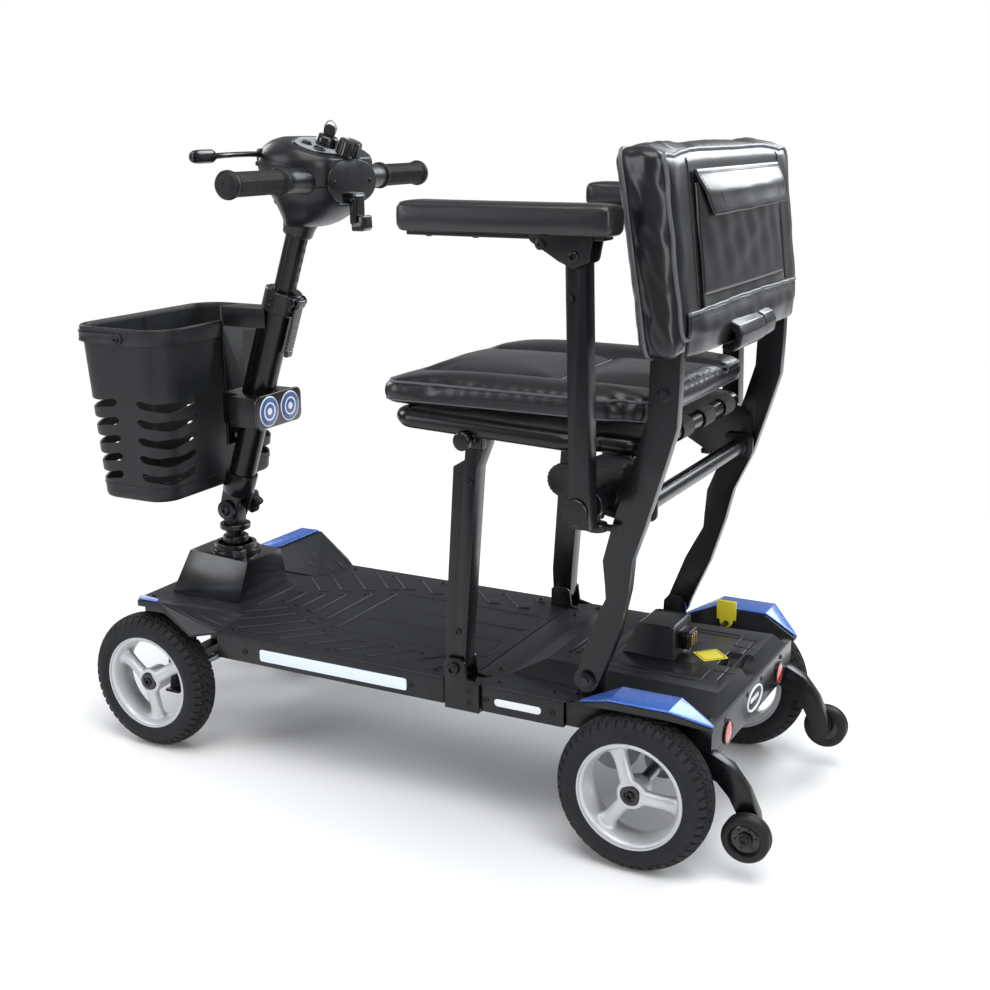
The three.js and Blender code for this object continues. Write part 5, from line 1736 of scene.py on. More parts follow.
def linkage():
    for s, side in SIDES:
        refine(side + "_upright", "frame", bevel=2.6, segs=4, angle=50, smooth=42)
        refine(side + "_front_leg", "frame", bevel=2.4, segs=3, angle=40, smooth=42)
        refine(side + "_armrest_post", "frame", bevel=3.0, segs=4, angle=50, smooth=42)
        lock_knob(s, side)
    cross = [(x, CROSS_Y, CROSS_Z) for x in (-184, -182, 182, 184)]
    make("seat_cross_tube", tube(cross, 11, 36, domed=False), "frame", "seat_back", 40,
         ("cross_tube",))
    bolts = Bag("linkage_bolts", "seat_back", "black_bolt")
    fittings = Bag("linkage_fittings", "seat_back", "frame")
    for s in (1, -1):
        out, x = (s, 0, 0), s * 214
        # saddle plates that carry the cross tube
        fittings(mirrored(plate(round_rect(-30, 12, 434, 468, 9, 6), 178.5, 184, "x"), s))
        fittings(ring_lathe([(11, 168), (13.6, 168.6), (13.6, 177), (11, 178.4)],
                            (0, CROSS_Y, CROSS_Z), out, 40))
        # collar of the armrest socket with its hand screw
        fittings(ring_lathe([(11.6, 232), (16.8, 232), (17.6, 233), (17.6, 241), (16.8, 242),
                             (11.6, 242)], (0, ARM_Y, ARM_Z), out, 48),
                 cyl((x, ARM_Y, 447), (x, ARM_Y, 440), 8.5, 28, bev=1.0))
        bolts(cyl((x, ARM_Y, 441), (x, ARM_Y, 434), 4, 20))
        fittings(cyl((x, ARM_Y, 435), (x, ARM_Y, 424), 12.5, 28, bev=2.2),
                 rbox((x - 3.4, -74, 425.5), (x + 3.4, -26, 434), 3))
        side_heads(bolts, s, ((194.2, -20, 494, 6.2, 4.0), (194.2, -12, 456, 6.2, 4.0)), hexbolt)
        side_heads(bolts, s, ((194.2, -70, 492, 5.2, 2.6),))
        side_heads(bolts, s, ((208.2, 26, 590, 5.6, 3.6), (208.2, 22, 660, 5.6, 3.6),
                              (168.4, -81, 215, 7.4, 3.4)), hexbolt)
    for s, side in SIDES:
        leg = Bag(side + "_leg_bolts", side + "_leg", "black_bolt")
        side_heads(leg, s, ((175.0, -262, 203, 6.4, 3.6),), hexbolt)
        side_heads(leg, s, ((175, -258, 252, 4.4, 2.2), (175, -239, 452, 4.4, 2.2)))


def seat_frame():
    """smooth bent tube, one closed loop, with its lugs"""
    bolts = Bag("seat_frame_bolts", "seat", "black_bolt")
    fittings = Bag("seat_frame_fittings", "seat", "frame")
    left = [(0, *RAIL_FRONT), (176, -330, 530), (194, -314, 529.6), (194, -96, 521),
            (172, -64, 519.5), (172, -26, 517), (160, -15, 516.5), (0, *RAIL_REAR)]
    radii = [16, 16, 40, 20, 10, 10]
    loop = fillet(left + [(-x, y, z) for x, y, z in reversed(left[1:-1])],
                  [1] + radii + [1] + radii[::-1], 7, True)
    parts = [tube(loop, 11, 28, closed=True, up=(0, 0, 1)),
             rbox((-176, -191, 517), (176, -169, 528.5), 3.0)]
    lug = round_poly([(-60, 512), (-60, 492), (-45, 482), (-30, 492), (-30, 516)], 6)
    for s in (1, -1):
        parts.append(side_box(s, (174, 188), (-245, -215), (498, 531), 3.0))
        parts.append(mirrored(plate(lug, 176, 181, "x", 0.9), s))
        parts.append(side_box(s, (171, 191), (-189.5, -170.5), (517, 529.5), 2.4))
        side_heads(bolts, s, ((181.2, -45, 500, 6.0, 4.0),), hexbolt)
        # spring plunger at the top of the front leg
        fittings(cyl((s * 188, *PLUNGER), (s * 197, *PLUNGER), 9.4, bev=1.2))
        bolts(cyl((s * 196, *PLUNGER), (s * 206, *PLUNGER), 5.2, 24, bev=0.8))
        fittings(lathe([(0, 205), (9, 205), (11.6, 206.6), (11.6, 212.5), (10, 214.4), (6, 215),
                        (0, 215)], (0, *PLUNGER), (s, 0, 0), 36))
        side_heads(bolts, s, ((181.6, -226, 524, 3.6, 2.0),))
    make("seat_tube_frame", parts, "frame", "seat", 42, ("seat_frame",))


def seat_slope(part, z):
    """a flat part laid on the rearward fall of the seat, z at y = -340"""
    return moved(part, lambda p: (p[0], p[1], z - (p[1] + 340) * 0.0345 + p[2]))


def seat_sling():
    """board and webbing straps under the cushion"""
    board = round_poly([(-176, -326), (176, -326), (184, -92), (162, -62), (162, -16),
                        (-162, -16), (-162, -62), (-184, -92)], 8, 6)
    make("seat_sling_board", seat_slope(plate(board, 0, 5.0, "z", 1.4, 3), 535.0), "mesh", "seat",
         45)
    half, wrap_r = 19, 12.6
    straps = []
    for x in (-120, -40, 40, 120):
        for y, z in (RAIL_FRONT, RAIL_REAR):
            ring = [(x, y + wrap_r * math.cos(t), z + wrap_r * math.sin(t)) for t in turn(32)]
            section = [(-0.8, -half), (0.8, -half), (0.8, half), (-0.8, half)]
            straps.append(sweep(ring, section, True, (1, 0, 0)))
        strap = [(x - half, -341), (x + half, -341), (x + half, -4), (x - half, -4)]
        straps.append(seat_slope(plate(strap, 0, 1.6, "z", 0.5, 1), 535.6))
    make("seat_webbing_straps", straps, "webbing", "seat", 45)


def armrest_posts():
    boss = [(0, 250), (14.6, 250), (15.4, 251), (15.4, 279.4), (14.4, 280.4), (9.4, 280.6),
            (0, 280.6)]
    for s, side in SIDES:
        out = (s, 0, 0)
        Bag(side + "_post_fittings", side + "_arm", "black_bolt")(
            hexbolt((s * 276.8, -49, ARM_Z), out, 7.0, 3.6),
            hexbolt((s * 276.8, -58, 700), out, 4.6, 3.0, washer=False),
            cyl((s * 198, ARM_Y, ARM_Z), (s * 254, ARM_Y, ARM_Z), 11, 36))
        Bag(side + "_post_boss", side + "_arm", "frame")(
            lathe(boss, (0, ARM_Y, ARM_Z), out, 44),
            side_box(s, (255.4, 274.6), (-63, -41), (744, 757), 2.4))


linkage()
seat_frame()
seat_sling()
armrest_posts()


# ------------------------------------------------------------------ soft goods
def coords(ob):
    co = np.empty(len(ob.data.vertices) * 3)
    ob.data.vertices.foreach_get("co", co)
    co = co.reshape(-1, 3) * 1000.0
    co[:, 1] -= REAR_AXLE_Y
    return co


def set_coords(ob, co):
    ob.data.vertices.foreach_set("co", world(np.array(co)).ravel())
    ob.data.update()


def normals(ob):
    n = np.empty(len(ob.data.vertices) * 3)
    ob.data.vertices.foreach_get("normal", n)
    return n.reshape(-1, 3)


def swell(ob, co, pinned, cap, frames):
    """cloth pressure between the pinned vertices; no vertex moves further than cap"""
    group = ob.vertex_groups.new(name="pin")
    group.add([int(i) for i in np.nonzero(pinned)[0]], 1.0, "REPLACE")
    cloth = ob.modifiers.new("cloth", "CLOTH")
    settings = cloth.settings
    settings.quality = 4
    settings.mass = 0.25
    settings.tension_stiffness = 9
    settings.compression_stiffness = 9
    settings.shear_stiffness = 4
    settings.bending_stiffness = 0.3
    settings.use_pressure = True
    settings.uniform_pressure_force = PRESSURE[ob.name] if ob.name in PRESSURE else 4.0
    settings.effector_weights.gravity = 0
    settings.vertex_group_mass = "pin"
    cloth.point_cache.frame_start = 1
    cloth.point_cache.frame_end = frames + 2
    scene = bpy.context.scene
    for f in range(1, frames + 1):
        scene.frame_set(f)
    applied(ob)
    scene.frame_set(1)
    d = coords(ob) - co
    L = np.linalg.norm(d, axis=1)
    k = np.where(L > cap, cap / np.maximum(L, 1e-9), 1.0)
    set_coords(ob, co + d * k[:, None])
    ob.vertex_groups.clear()
    modify(ob, "SMOOTH", iterations=3, factor=0.45)


# cloth pressure where it is not the usual 4
PRESSURE = {"left_arm_pad": 3.0, "right_arm_pad": 3.0}


def padded(name, part, voxel, cap, frames, pins, shape=None):
    """closed pad: remeshed, pulled down at its seams by shape, then swollen between them"""
    ob = raw(name, part)
    modify(ob, "REMESH", mode="VOXEL", voxel_size=voxel * MM)
    modify(ob, "SMOOTH", iterations=3, factor=0.5)
    co, nr = coords(ob), normals(ob)
    if shape:
        co = shape(co, nr)
        set_coords(ob, co)
    swell(ob, co, pins(co, nr), cap, frames)
    modify(ob, "SUBSURF", levels=1, render_levels=1)
    return ob


def wobble(n, seed, k=5):
    """smooth seeded function of one variable"""
    r = np.random.default_rng(seed)
    a, f, p = r.uniform(0.4, 1, k), r.uniform(0.02, 0.16, k), r.uniform(0, 6.3, k)
    return sum(a[i] * np.sin(f[i] * n + p[i]) for i in range(k)) / k


def puckers(co, nr, dist, along, sel, seed, reach, pitch=14, amp=0.5):
    """short wrinkles that run away from a seam; sel weights the vertices"""
    phase = along * 2 * math.pi / pitch + 2.6 * wobble(along * 1.0, seed)
    size = amp * (0.55 + 0.45 * wobble(along * 1.7, seed + 1))
    d = size * np.sin(phase) * np.exp(-(np.abs(dist) / reach) ** 1.2) * sel
    return co + nr * d[:, None]


def seam_dip(d1, d2, deep, shallow):
    """deep valleys at the long seams, shallower ones at the cross seam"""
    return deep * np.exp(-(d1 / 8.0) ** 2) + shallow * np.exp(-(d2 / 8.0) ** 2) * (d1 > 6)


def outward_walk(outline, r, seg, step):
    """evenly spaced (point, outward normal) pairs round a rounded outline, in its plane"""
    loop = np.array([p[:2] for p in fillet([(a, b, 0) for a, b in outline], r, seg, True)])
    centre = loop.mean(axis=0)
    total, at = arc_sampler(np.vstack([loop, loop[:1]]))
    n = int(total / step)
    pairs = []
    for k in range(n):
        p, d = at(total * k / n)
        normal = np.array((d[1], -d[0]))
        pairs.append((p, -normal if normal @ (p - centre) < 0 else normal))
    return pairs


SEAM_X = 100.0              # long seams of cushion and backrest, both sides
CUSHION_SEAM_Y = -160.0
BACK_SEAM_Z = 752
THREAD_OFFSET = 4.2         # stitch rows beside a seam
TIGHT = dict(length=3.0, gap=1.4)


# ---- seat cushion
def cushion_seams(co):
    """distance to the nearest long seam and to the cross seam"""
    x, y = co[:, 0], co[:, 1]
    d1 = np.minimum(np.abs(x + SEAM_X), np.abs(x - SEAM_X))
    d1 = np.where(y < -338, np.hypot(d1, y + 338), d1)
    return d1, np.where(np.abs(x) < SEAM_X, np.abs(y - CUSHION_SEAM_Y), 999.0)


def cushion_shape(co, nr):
    co = co.copy()
    co[:, 2] -= seam_dip(*cushion_seams(co), 8.5, 6.0) * np.clip((nr[:, 2] - 0.2) / 0.5, 0, 1)
    return co


def cushion_pins(co, nr):
    d1, d2 = cushion_seams(co)
    bottom = (nr[:, 2] < -0.6) & (np.abs(co[:, 0]) < 176) & (co[:, 1] > -355) & (co[:, 1] < -14)
    return ((nr[:, 2] > 0.35) & ((d1 < 3.4) | (d2 < 3.2))) | bottom


CUSHION = [(186, -346), (178, -360), (162, -367), (-162, -367), (-178, -360), (-186, -346),
           (-186, -54), (-176, -40), (-176, -12), (-164, -2), (164, -2), (176, -12), (176, -40),
           (186, -54)]


def cushion_pad():
    ob = padded("seat_cushion_pad", plate(round_poly(CUSHION, 14, 4), 542.5, 577.5, "z", 14, 4),
                voxel=5.2, cap=9.0, frames=20, pins=cushion_pins, shape=cushion_shape)
    co, nr = coords(ob), normals(ob)
    top = np.clip(nr[:, 2] * 1.4, 0, 1)
    d1, d2 = cushion_seams(co)
    co = puckers(co, nr, d1, co[:, 1], top, seed=11, reach=13)
    co = puckers(co, nr, d2, co[:, 0], top * (d1 > 5), seed=23, reach=12)
    # wrinkles that run in from the outer edge
    from_side = 188 - np.abs(co[:, 0])
    from_end = np.minimum(np.abs(co[:, 1] + 370), np.abs(co[:, 1] - 0))
    co = puckers(co, nr, from_side, co[:, 1], top, seed=31, reach=14, pitch=19)
    co = puckers(co, nr, from_end, co[:, 0], top, seed=37, reach=14, pitch=19)
    # the sides pull in between the corners
    wall = np.clip(1 - np.abs(nr[:, 2]) * 1.1, 0, 1)
    pull = 2.4 * np.sin(np.clip((co[:, 1] + 360) / 350, 0, 1) * math.pi) * wall
    co[:, 0] -= pull * np.sign(co[:, 0]) * (np.abs(nr[:, 0]) > 0.5)
    # the top falls towards the front edge; nothing goes below the bottom plane
    front = np.clip((-250 - co[:, 1]) / 120, 0, 1)
    co[:, 2] -= 5.0 * front ** 2 * np.clip((co[:, 2] - 545) / 30, 0, 1)
    co[:, 2] = np.maximum(co[:, 2], 541.6)
    co[:, 0] = np.clip(co[:, 0], -196, 196)
    co[:, 1] = np.clip(co[:, 1], -379, 2.5)
    set_coords(ob, co)
    finish_object(ob, "leather", "seat", 180, ("seat_cushion",))
    return bvh(ob)


def cushion_trim(tree):
    """seams, piping and stitches"""
    def top_line(pts, off):
        return cling(tree, [(x, y, 640) for x, y in pts], (0, 0, -1), off)

    def around(z, off):
        """a closed line round the side at height z"""
        walk = outward_walk(CUSHION, 16, 6, 5.0)
        return cling(tree, [(*(p + n * 40), z) for p, n in walk], [(*-n, 0) for _, n in walk], off)

    seams, thread = [], []
    for x in (-SEAM_X, SEAM_X):
        seams.append(tube(top_line([(x, y) for y in np.linspace(-352, -8, 116)], 0.1), 0.9, 8))
        for dx in (-THREAD_OFFSET, THREAD_OFFSET):
            row = [(x + dx, y) for y in np.linspace(-350, -10, 110)]
            thread += stitches(top_line(row, 0.15), **TIGHT)
    cross = [(x, CUSHION_SEAM_Y) for x in np.linspace(-99, 99, 70)]
    seams.append(tube(top_line(cross, 0.1), 0.9, 8))
    for dy in (-THREAD_OFFSET, THREAD_OFFSET):
        row = [(x, CUSHION_SEAM_Y + dy) for x in np.linspace(-97, 97, 66)]
        thread += stitches(top_line(row, 0.15), **TIGHT)
    make("seat_cushion_piping", [tube(around(571.0, 0.3), 1.7, 12, closed=True),
                                 tube(around(549.0, 0.1), 1.2, 12, closed=True)],
         "piping", "seat", 60)
    make("seat_cushion_seams", seams, "leather", "seat", 60)
    thread += stitches(around(566.0, 0.15), **TIGHT)
    make("seat_cushion_stitches", thread, "thread", "seat", 60)


cushion_trim(cushion_pad())


# ---- backrest
def back_rear_y(z):
    return 57 - (z - 640) * 24.0 / 205.0


def lean(x, depth, z):
    """x across, depth from 0 at the front face to 1 at the rear face, z"""
    front = 8 - (z - 640) * 34.0 / 205.0
    width = 1 + 0.038 * min(1.0, max(0.0, depth))
    return np.array((x * width, front + (back_rear_y(z) - front) * depth, z))


def back_seams(co):
    d1 = np.minimum(np.abs(co[:, 0] - SEAM_X), np.abs(co[:, 0] + SEAM_X))
    return d1, np.where(np.abs(co[:, 0]) < SEAM_X, np.abs(co[:, 2] - BACK_SEAM_Z), 999)


def back_shape(co, nr):
    co = co.copy()
    co[:, 1] += seam_dip(*back_seams(co), 7.5, 5.0) * np.clip(-nr[:, 1] * 1.5, 0, 1)
    return co


def back_pins(co, nr):
    d1, d2 = back_seams(co)
    rear = (nr[:, 1] > 0.6) & (np.abs(co[:, 0]) < 196) & (co[:, 2] < 846) & (co[:, 2] > 662)
    return ((nr[:, 1] < -0.35) & ((d1 < 3.4) | (d2 < 3.2))) | rear


def back_pad():
    slab = moved(rbox((-229, 0, 631), (229, 50, 859), 13, 4, (24, 3, 12)),
                 lambda p: lean(p[0], -0.08 + 1.03 * p[1] / 50.0, p[2]))
    ob = padded("backrest_pad", slab, voxel=5.8, cap=7.5, frames=20, pins=back_pins,
                shape=back_shape)
    co, nr = coords(ob), normals(ob)
    front = np.clip(-nr[:, 1] * 1.4, 0, 1)
    d1, d2 = back_seams(co)
    co = puckers(co, nr, d1, co[:, 2], front, seed=41, reach=13)
    co = puckers(co, nr, d2, co[:, 0], front * (d1 > 5), seed=43, reach=12)
    # diagonal creases on the side panels
    side = np.clip(np.abs(nr[:, 0]) * 1.3 - 0.3, 0, 1)
    zz, yy = co[:, 2], co[:, 1]
    phase = (zz * 0.9 + (yy * 1.6) * np.sign(co[:, 0])) * 2 * math.pi / 38 + 2.2 * wobble(zz, 51)
    crease = np.sin(phase) * (0.6 + 0.4 * wobble(zz * 1.3, 53))
    co = co + nr * (0.85 * crease * side)[:, None]
    # soft drag lines on the rear cover; the puckers below still use the heights from above
    rear = np.clip(nr[:, 1] * 1.3 - 0.2, 0, 1)
    phase = (co[:, 0] * 0.35 + zz) * 2 * math.pi / 66 + 2.0 * wobble(co[:, 0], 57)
    near_edge = np.exp(-((np.minimum(np.abs(np.abs(co[:, 0]) - 228), 60)) / 40) ** 2)
    co = co + nr * (0.9 * np.sin(phase) * near_edge * rear)[:, None]
    top = np.clip(nr[:, 2] * 1.3 - 0.2, 0, 1)
    co = puckers(co, nr, 862 - zz, co[:, 0], top, seed=61, reach=16, pitch=27, amp=0.6)
    co[:, 0] = np.clip(co[:, 0], -250, 250)
    set_coords(ob, co)
    finish_object(ob, "leather", "seat_back", 180, ("backrest",))
    return bvh(ob)


back_tree = back_pad()


def side_loop(depth, step=5.0):
    """line round the outside of the backrest at a depth (0 front, 1 rear)"""
    pts, dirs = [], []
    for p, n in outward_walk([(-231, 631), (231, 631), (231, 861), (-231, 861)], 20, 7, step):
        q = lean(p[0], depth, p[1])
        pts.append((q[0] + n[0] * 40, q[1], q[2] + n[1] * 40))
        dirs.append((-n[0], 0.0, -n[1]))
    return cling(back_tree, pts, dirs, 0.6)


def front_line(pts, off):
    return cling(back_tree, [(x, -120, z) for x, z in pts], (0, 1, 0), off)


def rear_line(pts, off):
    return cling(back_tree, [(x, 160, z) for x, z in pts], (0, -1, 0), off)


def rear_y(x, z, off):
    """y of the rear cover at x, z, moved rearwards by off"""
    hit = rear_line([(x, z)], 0)
    return (hit[0][1] if hit else back_rear_y(z)) + off


def sheet(fn, nu, nv, t, rim=0.5):
    """closed thin panel; fn(u, v) with u, v in 0..1 gives its middle surface as (x, y, z)"""
    G = np.array([[fn(i / nu, j / nv) for j in range(nv + 1)] for i in range(nu + 1)], float)
    nn = np.cross(np.gradient(G, axis=0), np.gradient(G, axis=1))
    nn /= np.linalg.norm(nn, axis=2)[:, :, None]
    mid, nn = G.reshape(-1, 3), nn.reshape(-1, 3)
    n, w = (nu + 1) * (nv + 1), nv + 1
    faces = []
    for i in range(nu):
        for j in range(nv):
            q = (i * w + j, (i + 1) * w + j, (i + 1) * w + j + 1, i * w + j + 1)
            faces += [q, tuple(k + n for k in reversed(q))]
    border = [i * w for i in range(nu + 1)] + [nu * w + j for j in range(1, nv + 1)]
    border += [i * w + nv for i in range(nu - 1, -1, -1)] + list(range(nv - 1, 0, -1))
    # a middle rim pushed outwards a little, so the edge is round
    centre, m = mid.mean(axis=0), len(border)
    edge = []
    for k, b in enumerate(border):
        along = unit(mid[border[(k + 1) % m]] - mid[border[k - 1]])
        out = np.cross(along, nn[b])
        if out @ (mid[b] - centre) < 0:
            out = -out
        edge.append(mid[b] + out * rim)
    for k in range(m):
        l = (k + 1) % m
        faces.append((border[k], border[l], 2 * n + l, 2 * n + k))
        faces.append((2 * n + k, 2 * n + l, border[l] + n, border[k] + n))
    return np.vstack([mid + nn * t / 2, mid - nn * t / 2, edge]), faces


def ease(t, a=0.0, b=1.0):
    t = min(1, max(0, (t - a) / (b - a)))
    return t * t * (3 - 2 * t)


def pocket(u, v):
    """a bellowed panel, fuller at its top edge"""
    x, z = -155 + 310 * u, 696 + 122 * v
    arch = math.sin(math.pi * u)
    puff = 8.5 * arch ** 0.5 * (0.30 + 0.70 * ease(v, 0, 0.75))
    ripple = 1.1 * math.sin(x * 0.05 + z * 0.11 + 1.0) * arch + 0.8 * math.sin(x * 0.13 - z * 0.06)
    off = 2.0 + puff + ripple * math.sin(math.pi * v)
    return x, rear_y(x, z, off), z + (1.8 * arch if v > 0.9 else 0)


def flap(u, v):
    """v from the sewn top edge to the free edge, which hangs lower on the +x side and stands
    a little open"""
    x0, x1 = -158 + 20 * v * 0.55, 158 - 34 * v
    x = x0 + (x1 - x0) * u
    z = 833 - (47 + 4.0 * u) * v
    lift = 11.0 * ease(v, 0.0, 0.55) * (0.55 + 0.45 * math.sin(math.pi * min(1, 0.12 + u * 0.88)))
    curl = 3.4 * ease(v, 0.55, 1.0) * (1 - 0.6 * u)
    ripple = 0.9 * math.sin(x * 0.07 + 1.2) * v
    return x, rear_y(x, min(z, 838), 4.2 + lift + curl + ripple), z


def mesh_band(u, v):
    """strip below the pocket"""
    x, z = -157 + 314 * u, 679 + 18 * v
    return x, rear_y(x, z, 1.6 + 0.5 * math.sin(x * 0.09)), z


def bottom_wrap(u, v):
    """the cover's bottom edge, wrapped round to the rear"""
    x, z = -206 + 412 * u, 634 + 46 * v + 3.0 * math.sin(math.pi * u) * v
    ends = min(1.0, 0.12 + 9 * u, 0.12 + 9 * (1 - u))
    bulge = (3.4 + 4.6 * math.sin(math.pi * min(1, v * 1.05))) * ends
    ripple = 0.9 * math.sin(x * 0.06 + 2 * v) + 0.7 * math.sin(x * 0.15 + 1.0) * v
    return x, rear_y(x, max(z, 652), bulge + ripple), z


def row(fn, off, u, v, n):
    """n points on a sheet; u or v is a (from, to) pair, the other is fixed"""
    us = np.linspace(*u, n) if isinstance(u, tuple) else [u] * n
    vs = np.linspace(*v, n) if isinstance(v, tuple) else [v] * n
    points = [fn(a, b) for a, b in zip(us, vs)]
    return [(x, y + off, z) for x, y, z in points]


def backrest_cover():
    """piping, seams, stitches and the panels sewn on the rear"""
    body = "seat_back"
    make("backrest_piping", [tube(side_loop(0.04), 2.7, 12, closed=True),
                             tube(side_loop(0.86), 2.8, 12, closed=True)], "piping", body, 60)
    seams, thread = [], []
    for x in (-100, 100):
        seams.append(tube(front_line([(x, z) for z in np.linspace(652, 850, 70)], 0.1), 0.9, 8))
        for dx in (-THREAD_OFFSET, THREAD_OFFSET):
            pts = [(x + dx, z) for z in np.linspace(654, 848, 66)]
            thread += stitches(front_line(pts, 0.15))
    cross = [(x, BACK_SEAM_Z) for x in np.linspace(-99, 99, 70)]
    seams.append(tube(front_line(cross, 0.1), 0.9, 8))
    for dz in (-THREAD_OFFSET, THREAD_OFFSET):
        pts = [(x, BACK_SEAM_Z + dz) for x in np.linspace(-97, 97, 66)]
        thread += stitches(front_line(pts, 0.15))
    thread += stitches(side_loop(0.06, step=6), length=3.0)
    n = 54
    make("backrest_pocket", sheet(pocket, n, n // 2, 2.0), "leather", body, 180)
    make("backrest_pocket_flap", sheet(flap, n, n // 3, 2.4), "leather", body, 180)
    # stitch rows: sheet, offset, u, v, points
    for line in ((flap, 1.4, (0.02, 0.98), 0.09, 70), (flap, 1.4, (0.03, 0.97), 0.91, 70),
                 (flap, 1.4, 0.03, (0.1, 0.92), 14), (flap, 1.4, 0.97, (0.1, 0.92), 14),
                 (flap, 1.4, (0.12, 0.86), 0.52, 60), (flap, 1.4, (0.12, 0.86), 0.86, 60),
                 (flap, 1.4, 0.12, (0.52, 0.86), 8), (flap, 1.4, 0.86, (0.52, 0.86), 8),
                 (pocket, 1.2, 0.018, (0.02, 0.98), 36), (pocket, 1.2, 0.982, (0.02, 0.98), 36),
                 (pocket, 1.2, (0.02, 0.98), 0.025, 70)):
        thread += stitches(row(*line))
    # seams that frame the pocket
    for s in (-1, 1):
        x = s * 168
        seams.append(tube(rear_line([(x, z) for z in np.linspace(684, 846, 50)], 0.2), 1.0, 8))
        pts = [(x + s * 4, z) for z in np.linspace(686, 844, 50)]
        thread += stitches(rear_line(pts, 0.25))
    make("backrest_mesh_band", sheet(mesh_band, n, 4, 1.6), "mesh", body, 180)
    make("backrest_bottom_wrap", sheet(bottom_wrap, n + 10, n // 4, 2.6), "leather", body, 180)
    make("backrest_wrap_piping", tube(row(bottom_wrap, 0.6, (0.0, 1.0), 1.0, 80), 2.0, 12),
         "piping", body, 60)
    thread += stitches(row(bottom_wrap, 1.5, (0.01, 0.99), 0.86, 96))
    make("backrest_seams", seams, "leather", body, 60)
    make("backrest_stitches", thread, "thread", body, 60)


def backrest_brackets():
    """moulded brackets under the cover"""
    bag = Bag("backrest_moulded_brackets", "seat_back", "frame", 40)
    claw = round_poly([(30, 660), (60, 660), (71, 655), (76, 644), (74, 631), (66, 624),
                       (52, 624), (50, 631), (61, 632), (66, 638), (66, 645), (60, 650),
                       (30, 650)], 4.0)
    bag(plate(claw, -8, 88, "x", 2.2, 4),
        plate([(a - 4, b + 1) for a, b in claw], -62, -18, "x", 2.2, 4),
        rbox((-64, 30, 634), (90, 50, 656), 4, 4, (4, 1, 1)),
        rbox((-206, 18, 634), (206, 40, 645), 4, 3, (12, 1, 1)))
    for x, y in ((14, 50), (66, 50), (-40, 46)):
        bag(screw((x, y, 659.4), (0, 0, 1), 3.6, 1.6))


def armrest(s, side):
    body = side + "_pad"
    xs = sorted((s * 241, s * 287))
    ob = padded(side + "_arm_pad",
                rbox((xs[0], -273, 765.5), (xs[1], -9, 799.6), 7, 4, (5, 20, 3)),
                voxel=3.8, cap=1.4, frames=14, pins=lambda co, nr: nr[:, 2] < -0.6)
    co, nr = coords(ob), normals(ob)
    # a faint hollow along the top and a tucked seam low on the sides
    hollow = 0.9 * np.exp(-((np.abs(co[:, 0]) - 264) / 11) ** 2) * np.clip(nr[:, 2], 0, 1)
    hollow = hollow * np.clip((-20 - co[:, 1]) / 30, 0, 1) * np.clip((co[:, 1] + 262) / 30, 0, 1)
    co[:, 2] -= hollow
    tuck = 0.7 * np.exp(-((co[:, 2] - 770.0) / 1.6) ** 2) * np.clip(1 - np.abs(nr[:, 2]), 0, 1)
    set_coords(ob, co - nr * tuck[:, None])
    finish_object(ob, "pad_skin", body, 180, (side + "_armrest_pad",))
    fittings = Bag(side + "_pad_fittings", body, "frame", 40)
    fittings(side_box(s, (250, 278), (-262, -20), (761.8, 768.5), 1.6))
    cheek = round_poly([(-122, 770), (-30, 770), (-36, 739), (-53, 732), (-70, 739)], 6, 6)
    for a, b in ((278.2, 281.6), (248.4, 251.8)):
        fittings(mirrored(plate(cheek, a, b, "x", 0.9, 3), s))
    fittings(cyl((s * 281.4, -92, 757), (s * 284.0, -92, 757), 6.0, 28, bev=0.8))
    bolts = Bag(side + "_pad_bolts", body, "black_bolt")
    side_heads(bolts, s, ((281.6, -53, 745, 6.4, 3.6),))
    bolts(cyl((s * 249, -53, 745), (s * 281, -53, 745), 4.5, 20))
    side_heads(bolts, s, ((283.8, -92, 757, 3.8, 2.4), (281.6, -40, 760, 3.0, 1.6)))
    for y in (-240, -180):
        bolts(screw((s * 264, y, 761.8), (0, 0, -1), 4.0, 2.0))


backrest_cover()
backrest_brackets()
for s, side in SIDES:
    armrest(s, side)


# ------------------------------------------------------------------ stage, light and camera
# From here on lengths are metres.
def camera():
    data = bpy.data.cameras.new("camera")
    data.lens = 51.57
    data.sensor_width = 36
    data.clip_start, data.clip_end = 0.05, 60
    cam = bpy.data.objects.new("camera", data)
    COL.objects.link(cam)
    place = Vector((1.67374, 0.57552 + REAR_AXLE_Y * MM, 0.88524))
    rotation = Matrix(((-0.460273, -0.228148, 0.857961), (0.887767, -0.11368, 0.446033),
                       (-0.004228, 0.966967, 0.254866)))
    cam.matrix_world = Matrix.Translation(place) @ rotation.to_4x4()
    bpy.context.scene.camera = cam


def floor_material():
    m = Nodes("pale_studio_floor")
    m.set(color=m.cloudy((0.93, 0.935, 0.94), (0.955, 0.955, 0.96), 0.8), rough=0.6, spec=0.2)
    m.bump((m.noise(60, detail=3), 0.02, 0.002))
    # far from the object the floor runs out into the white of the studio, so no horizon shows
    length = m.add("ShaderNodeVectorMath", operation="LENGTH")
    m.put(length.inputs[0], m.add("ShaderNodeNewGeometry").outputs["Position"])
    far = m.remap(length.outputs["Value"], (0.75, 1.7), (0.0, 1.0))
    seen = m.add("ShaderNodeLightPath").outputs["Is Camera Ray"]
    white = m.add("ShaderNodeEmission")
    white.inputs["Color"].default_value = (1, 1, 1, 1)
    white.inputs["Strength"].default_value = 1.0
    shader = m.add("ShaderNodeMixShader")
    m.put(shader.inputs[0], m.math("MULTIPLY", far, seen))
    m.put(shader.inputs[1], m.bsdf.outputs[0])
    m.put(shader.inputs[2], white.outputs[0])
    m.put(m.tree.nodes["Material Output"].inputs["Surface"], shader.outputs[0])
    return m.material


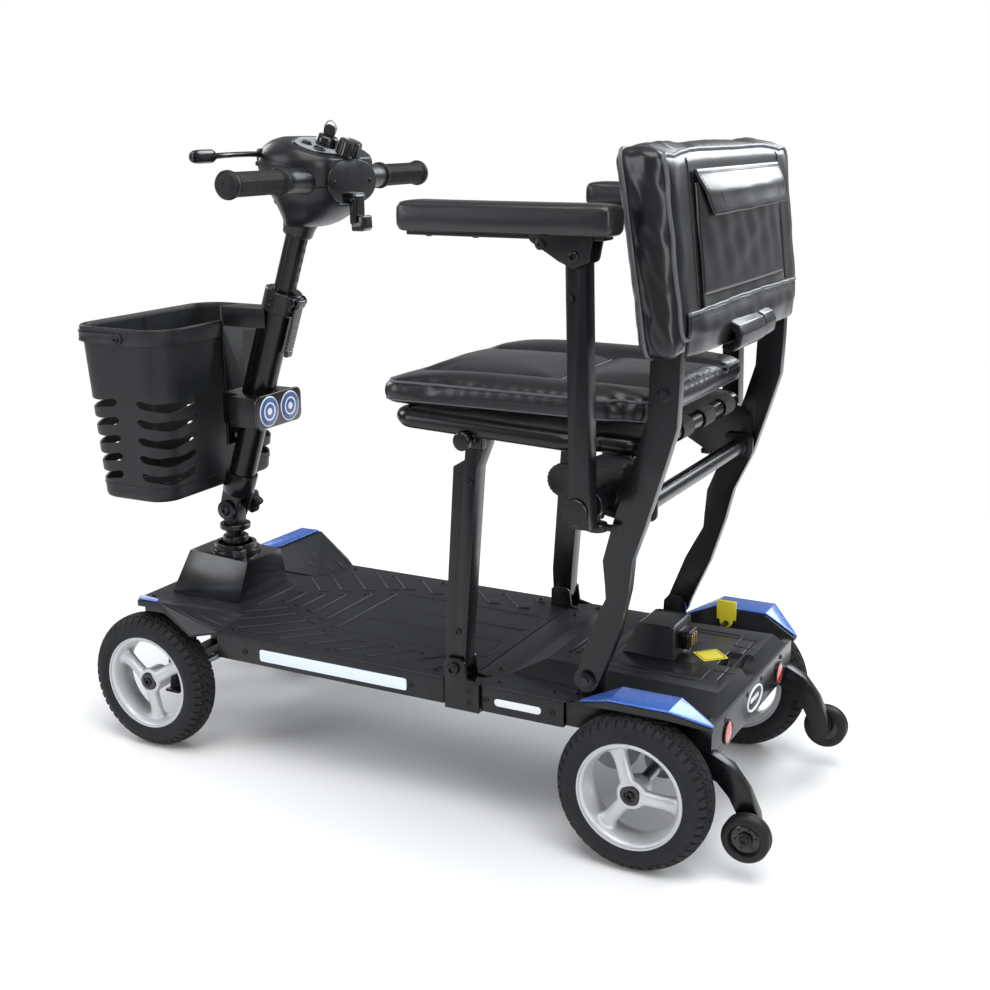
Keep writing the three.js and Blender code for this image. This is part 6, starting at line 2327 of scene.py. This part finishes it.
def studio_floor(k=48):
    """a wide flat disc of rings with k points each, finer in the middle"""
    material = floor_material()
    radii = (0.5, 1.0, 2.0, 4.0, 8.0, 16.0, 45.0)
    verts = [(0, 0, 0)]
    for r in radii:
        angles = [2 * math.pi * i / k for i in range(k)]
        verts += [(r * math.cos(t), r * math.sin(t), 0.0) for t in angles]
    faces = [(0, 1 + i, 1 + (i + 1) % k) for i in range(k)]
    for q in range(len(radii) - 1):
        a, b = 1 + q * k, 1 + (q + 1) * k
        for i in range(k):
            j = (i + 1) % k
            faces.append((a + i, b + i, b + j, a + j))
    me = bpy.data.meshes.new("studio_floor")
    me.from_pydata(verts, [], faces)
    ob = bpy.data.objects.new("studio_floor", me)
    me.materials.append(material)
    COL.objects.link(ob)


def area_light(name, loc, target, size, power, color=(1, 1, 1)):
    """rectangular light; size is (width, height)"""
    data = bpy.data.lights.new(name, "AREA")
    data.shape = "RECTANGLE"
    data.size, data.size_y = size
    data.energy = power
    data.color = color
    ob = bpy.data.objects.new(name, data)
    COL.objects.link(ob)
    ob.location = loc
    ob.rotation_mode = "QUATERNION"
    ob.rotation_quaternion = (Vector(target) - Vector(loc)).to_track_quat("-Z", "Y")


def studio_world():
    """soft fill light that the camera sees as pure white"""
    world_data = bpy.data.worlds.new("studio")
    world_data.use_nodes = True
    tree = world_data.node_tree
    fill = tree.nodes["Background"]
    fill.inputs["Color"].default_value = (0.96, 0.975, 1.0, 1)
    fill.inputs["Strength"].default_value = 0.32
    white = tree.nodes.new("ShaderNodeBackground")
    white.inputs["Color"].default_value = (1, 1, 1, 1)
    white.inputs["Strength"].default_value = 1.0
    seen = tree.nodes.new("ShaderNodeLightPath")
    mix = tree.nodes.new("ShaderNodeMixShader")
    tree.links.new(seen.outputs["Is Camera Ray"], mix.inputs[0])
    tree.links.new(fill.outputs[0], mix.inputs[1])
    tree.links.new(white.outputs[0], mix.inputs[2])
    tree.links.new(mix.outputs[0], tree.nodes["World Output"].inputs["Surface"])
    bpy.context.scene.world = world_data


camera()
studio_floor()
area_light("key_top", (0.7, 0.5, 3.0), target=(0, 0, 0.3), size=(2.4, 2.4), power=78)
area_light("camera_left_softbox", (2.5, -2.2, 1.7), target=(0, -0.2, 0.4), size=(1.2, 2.2),
           power=34, color=(0.96, 0.98, 1.0))
area_light("camera_right_softbox", (1.6, 2.9, 1.5), target=(0, 0.2, 0.5), size=(1.2, 2.2),
           power=34)
area_light("rim_back", (-2.4, 1.0, 2.0), target=(0, 0, 0.4), size=(1.6, 1.6), power=52,
           color=(0.93, 0.97, 1.0))
area_light("front_softbox", (-1.0, -2.8, 1.8), target=(0, -0.3, 0.4), size=(1.4, 1.4), power=30,
           color=(0.97, 0.98, 1.0))
studio_world()
bpy.context.scene.view_settings.view_transform = "Standard"

Bag.flush()
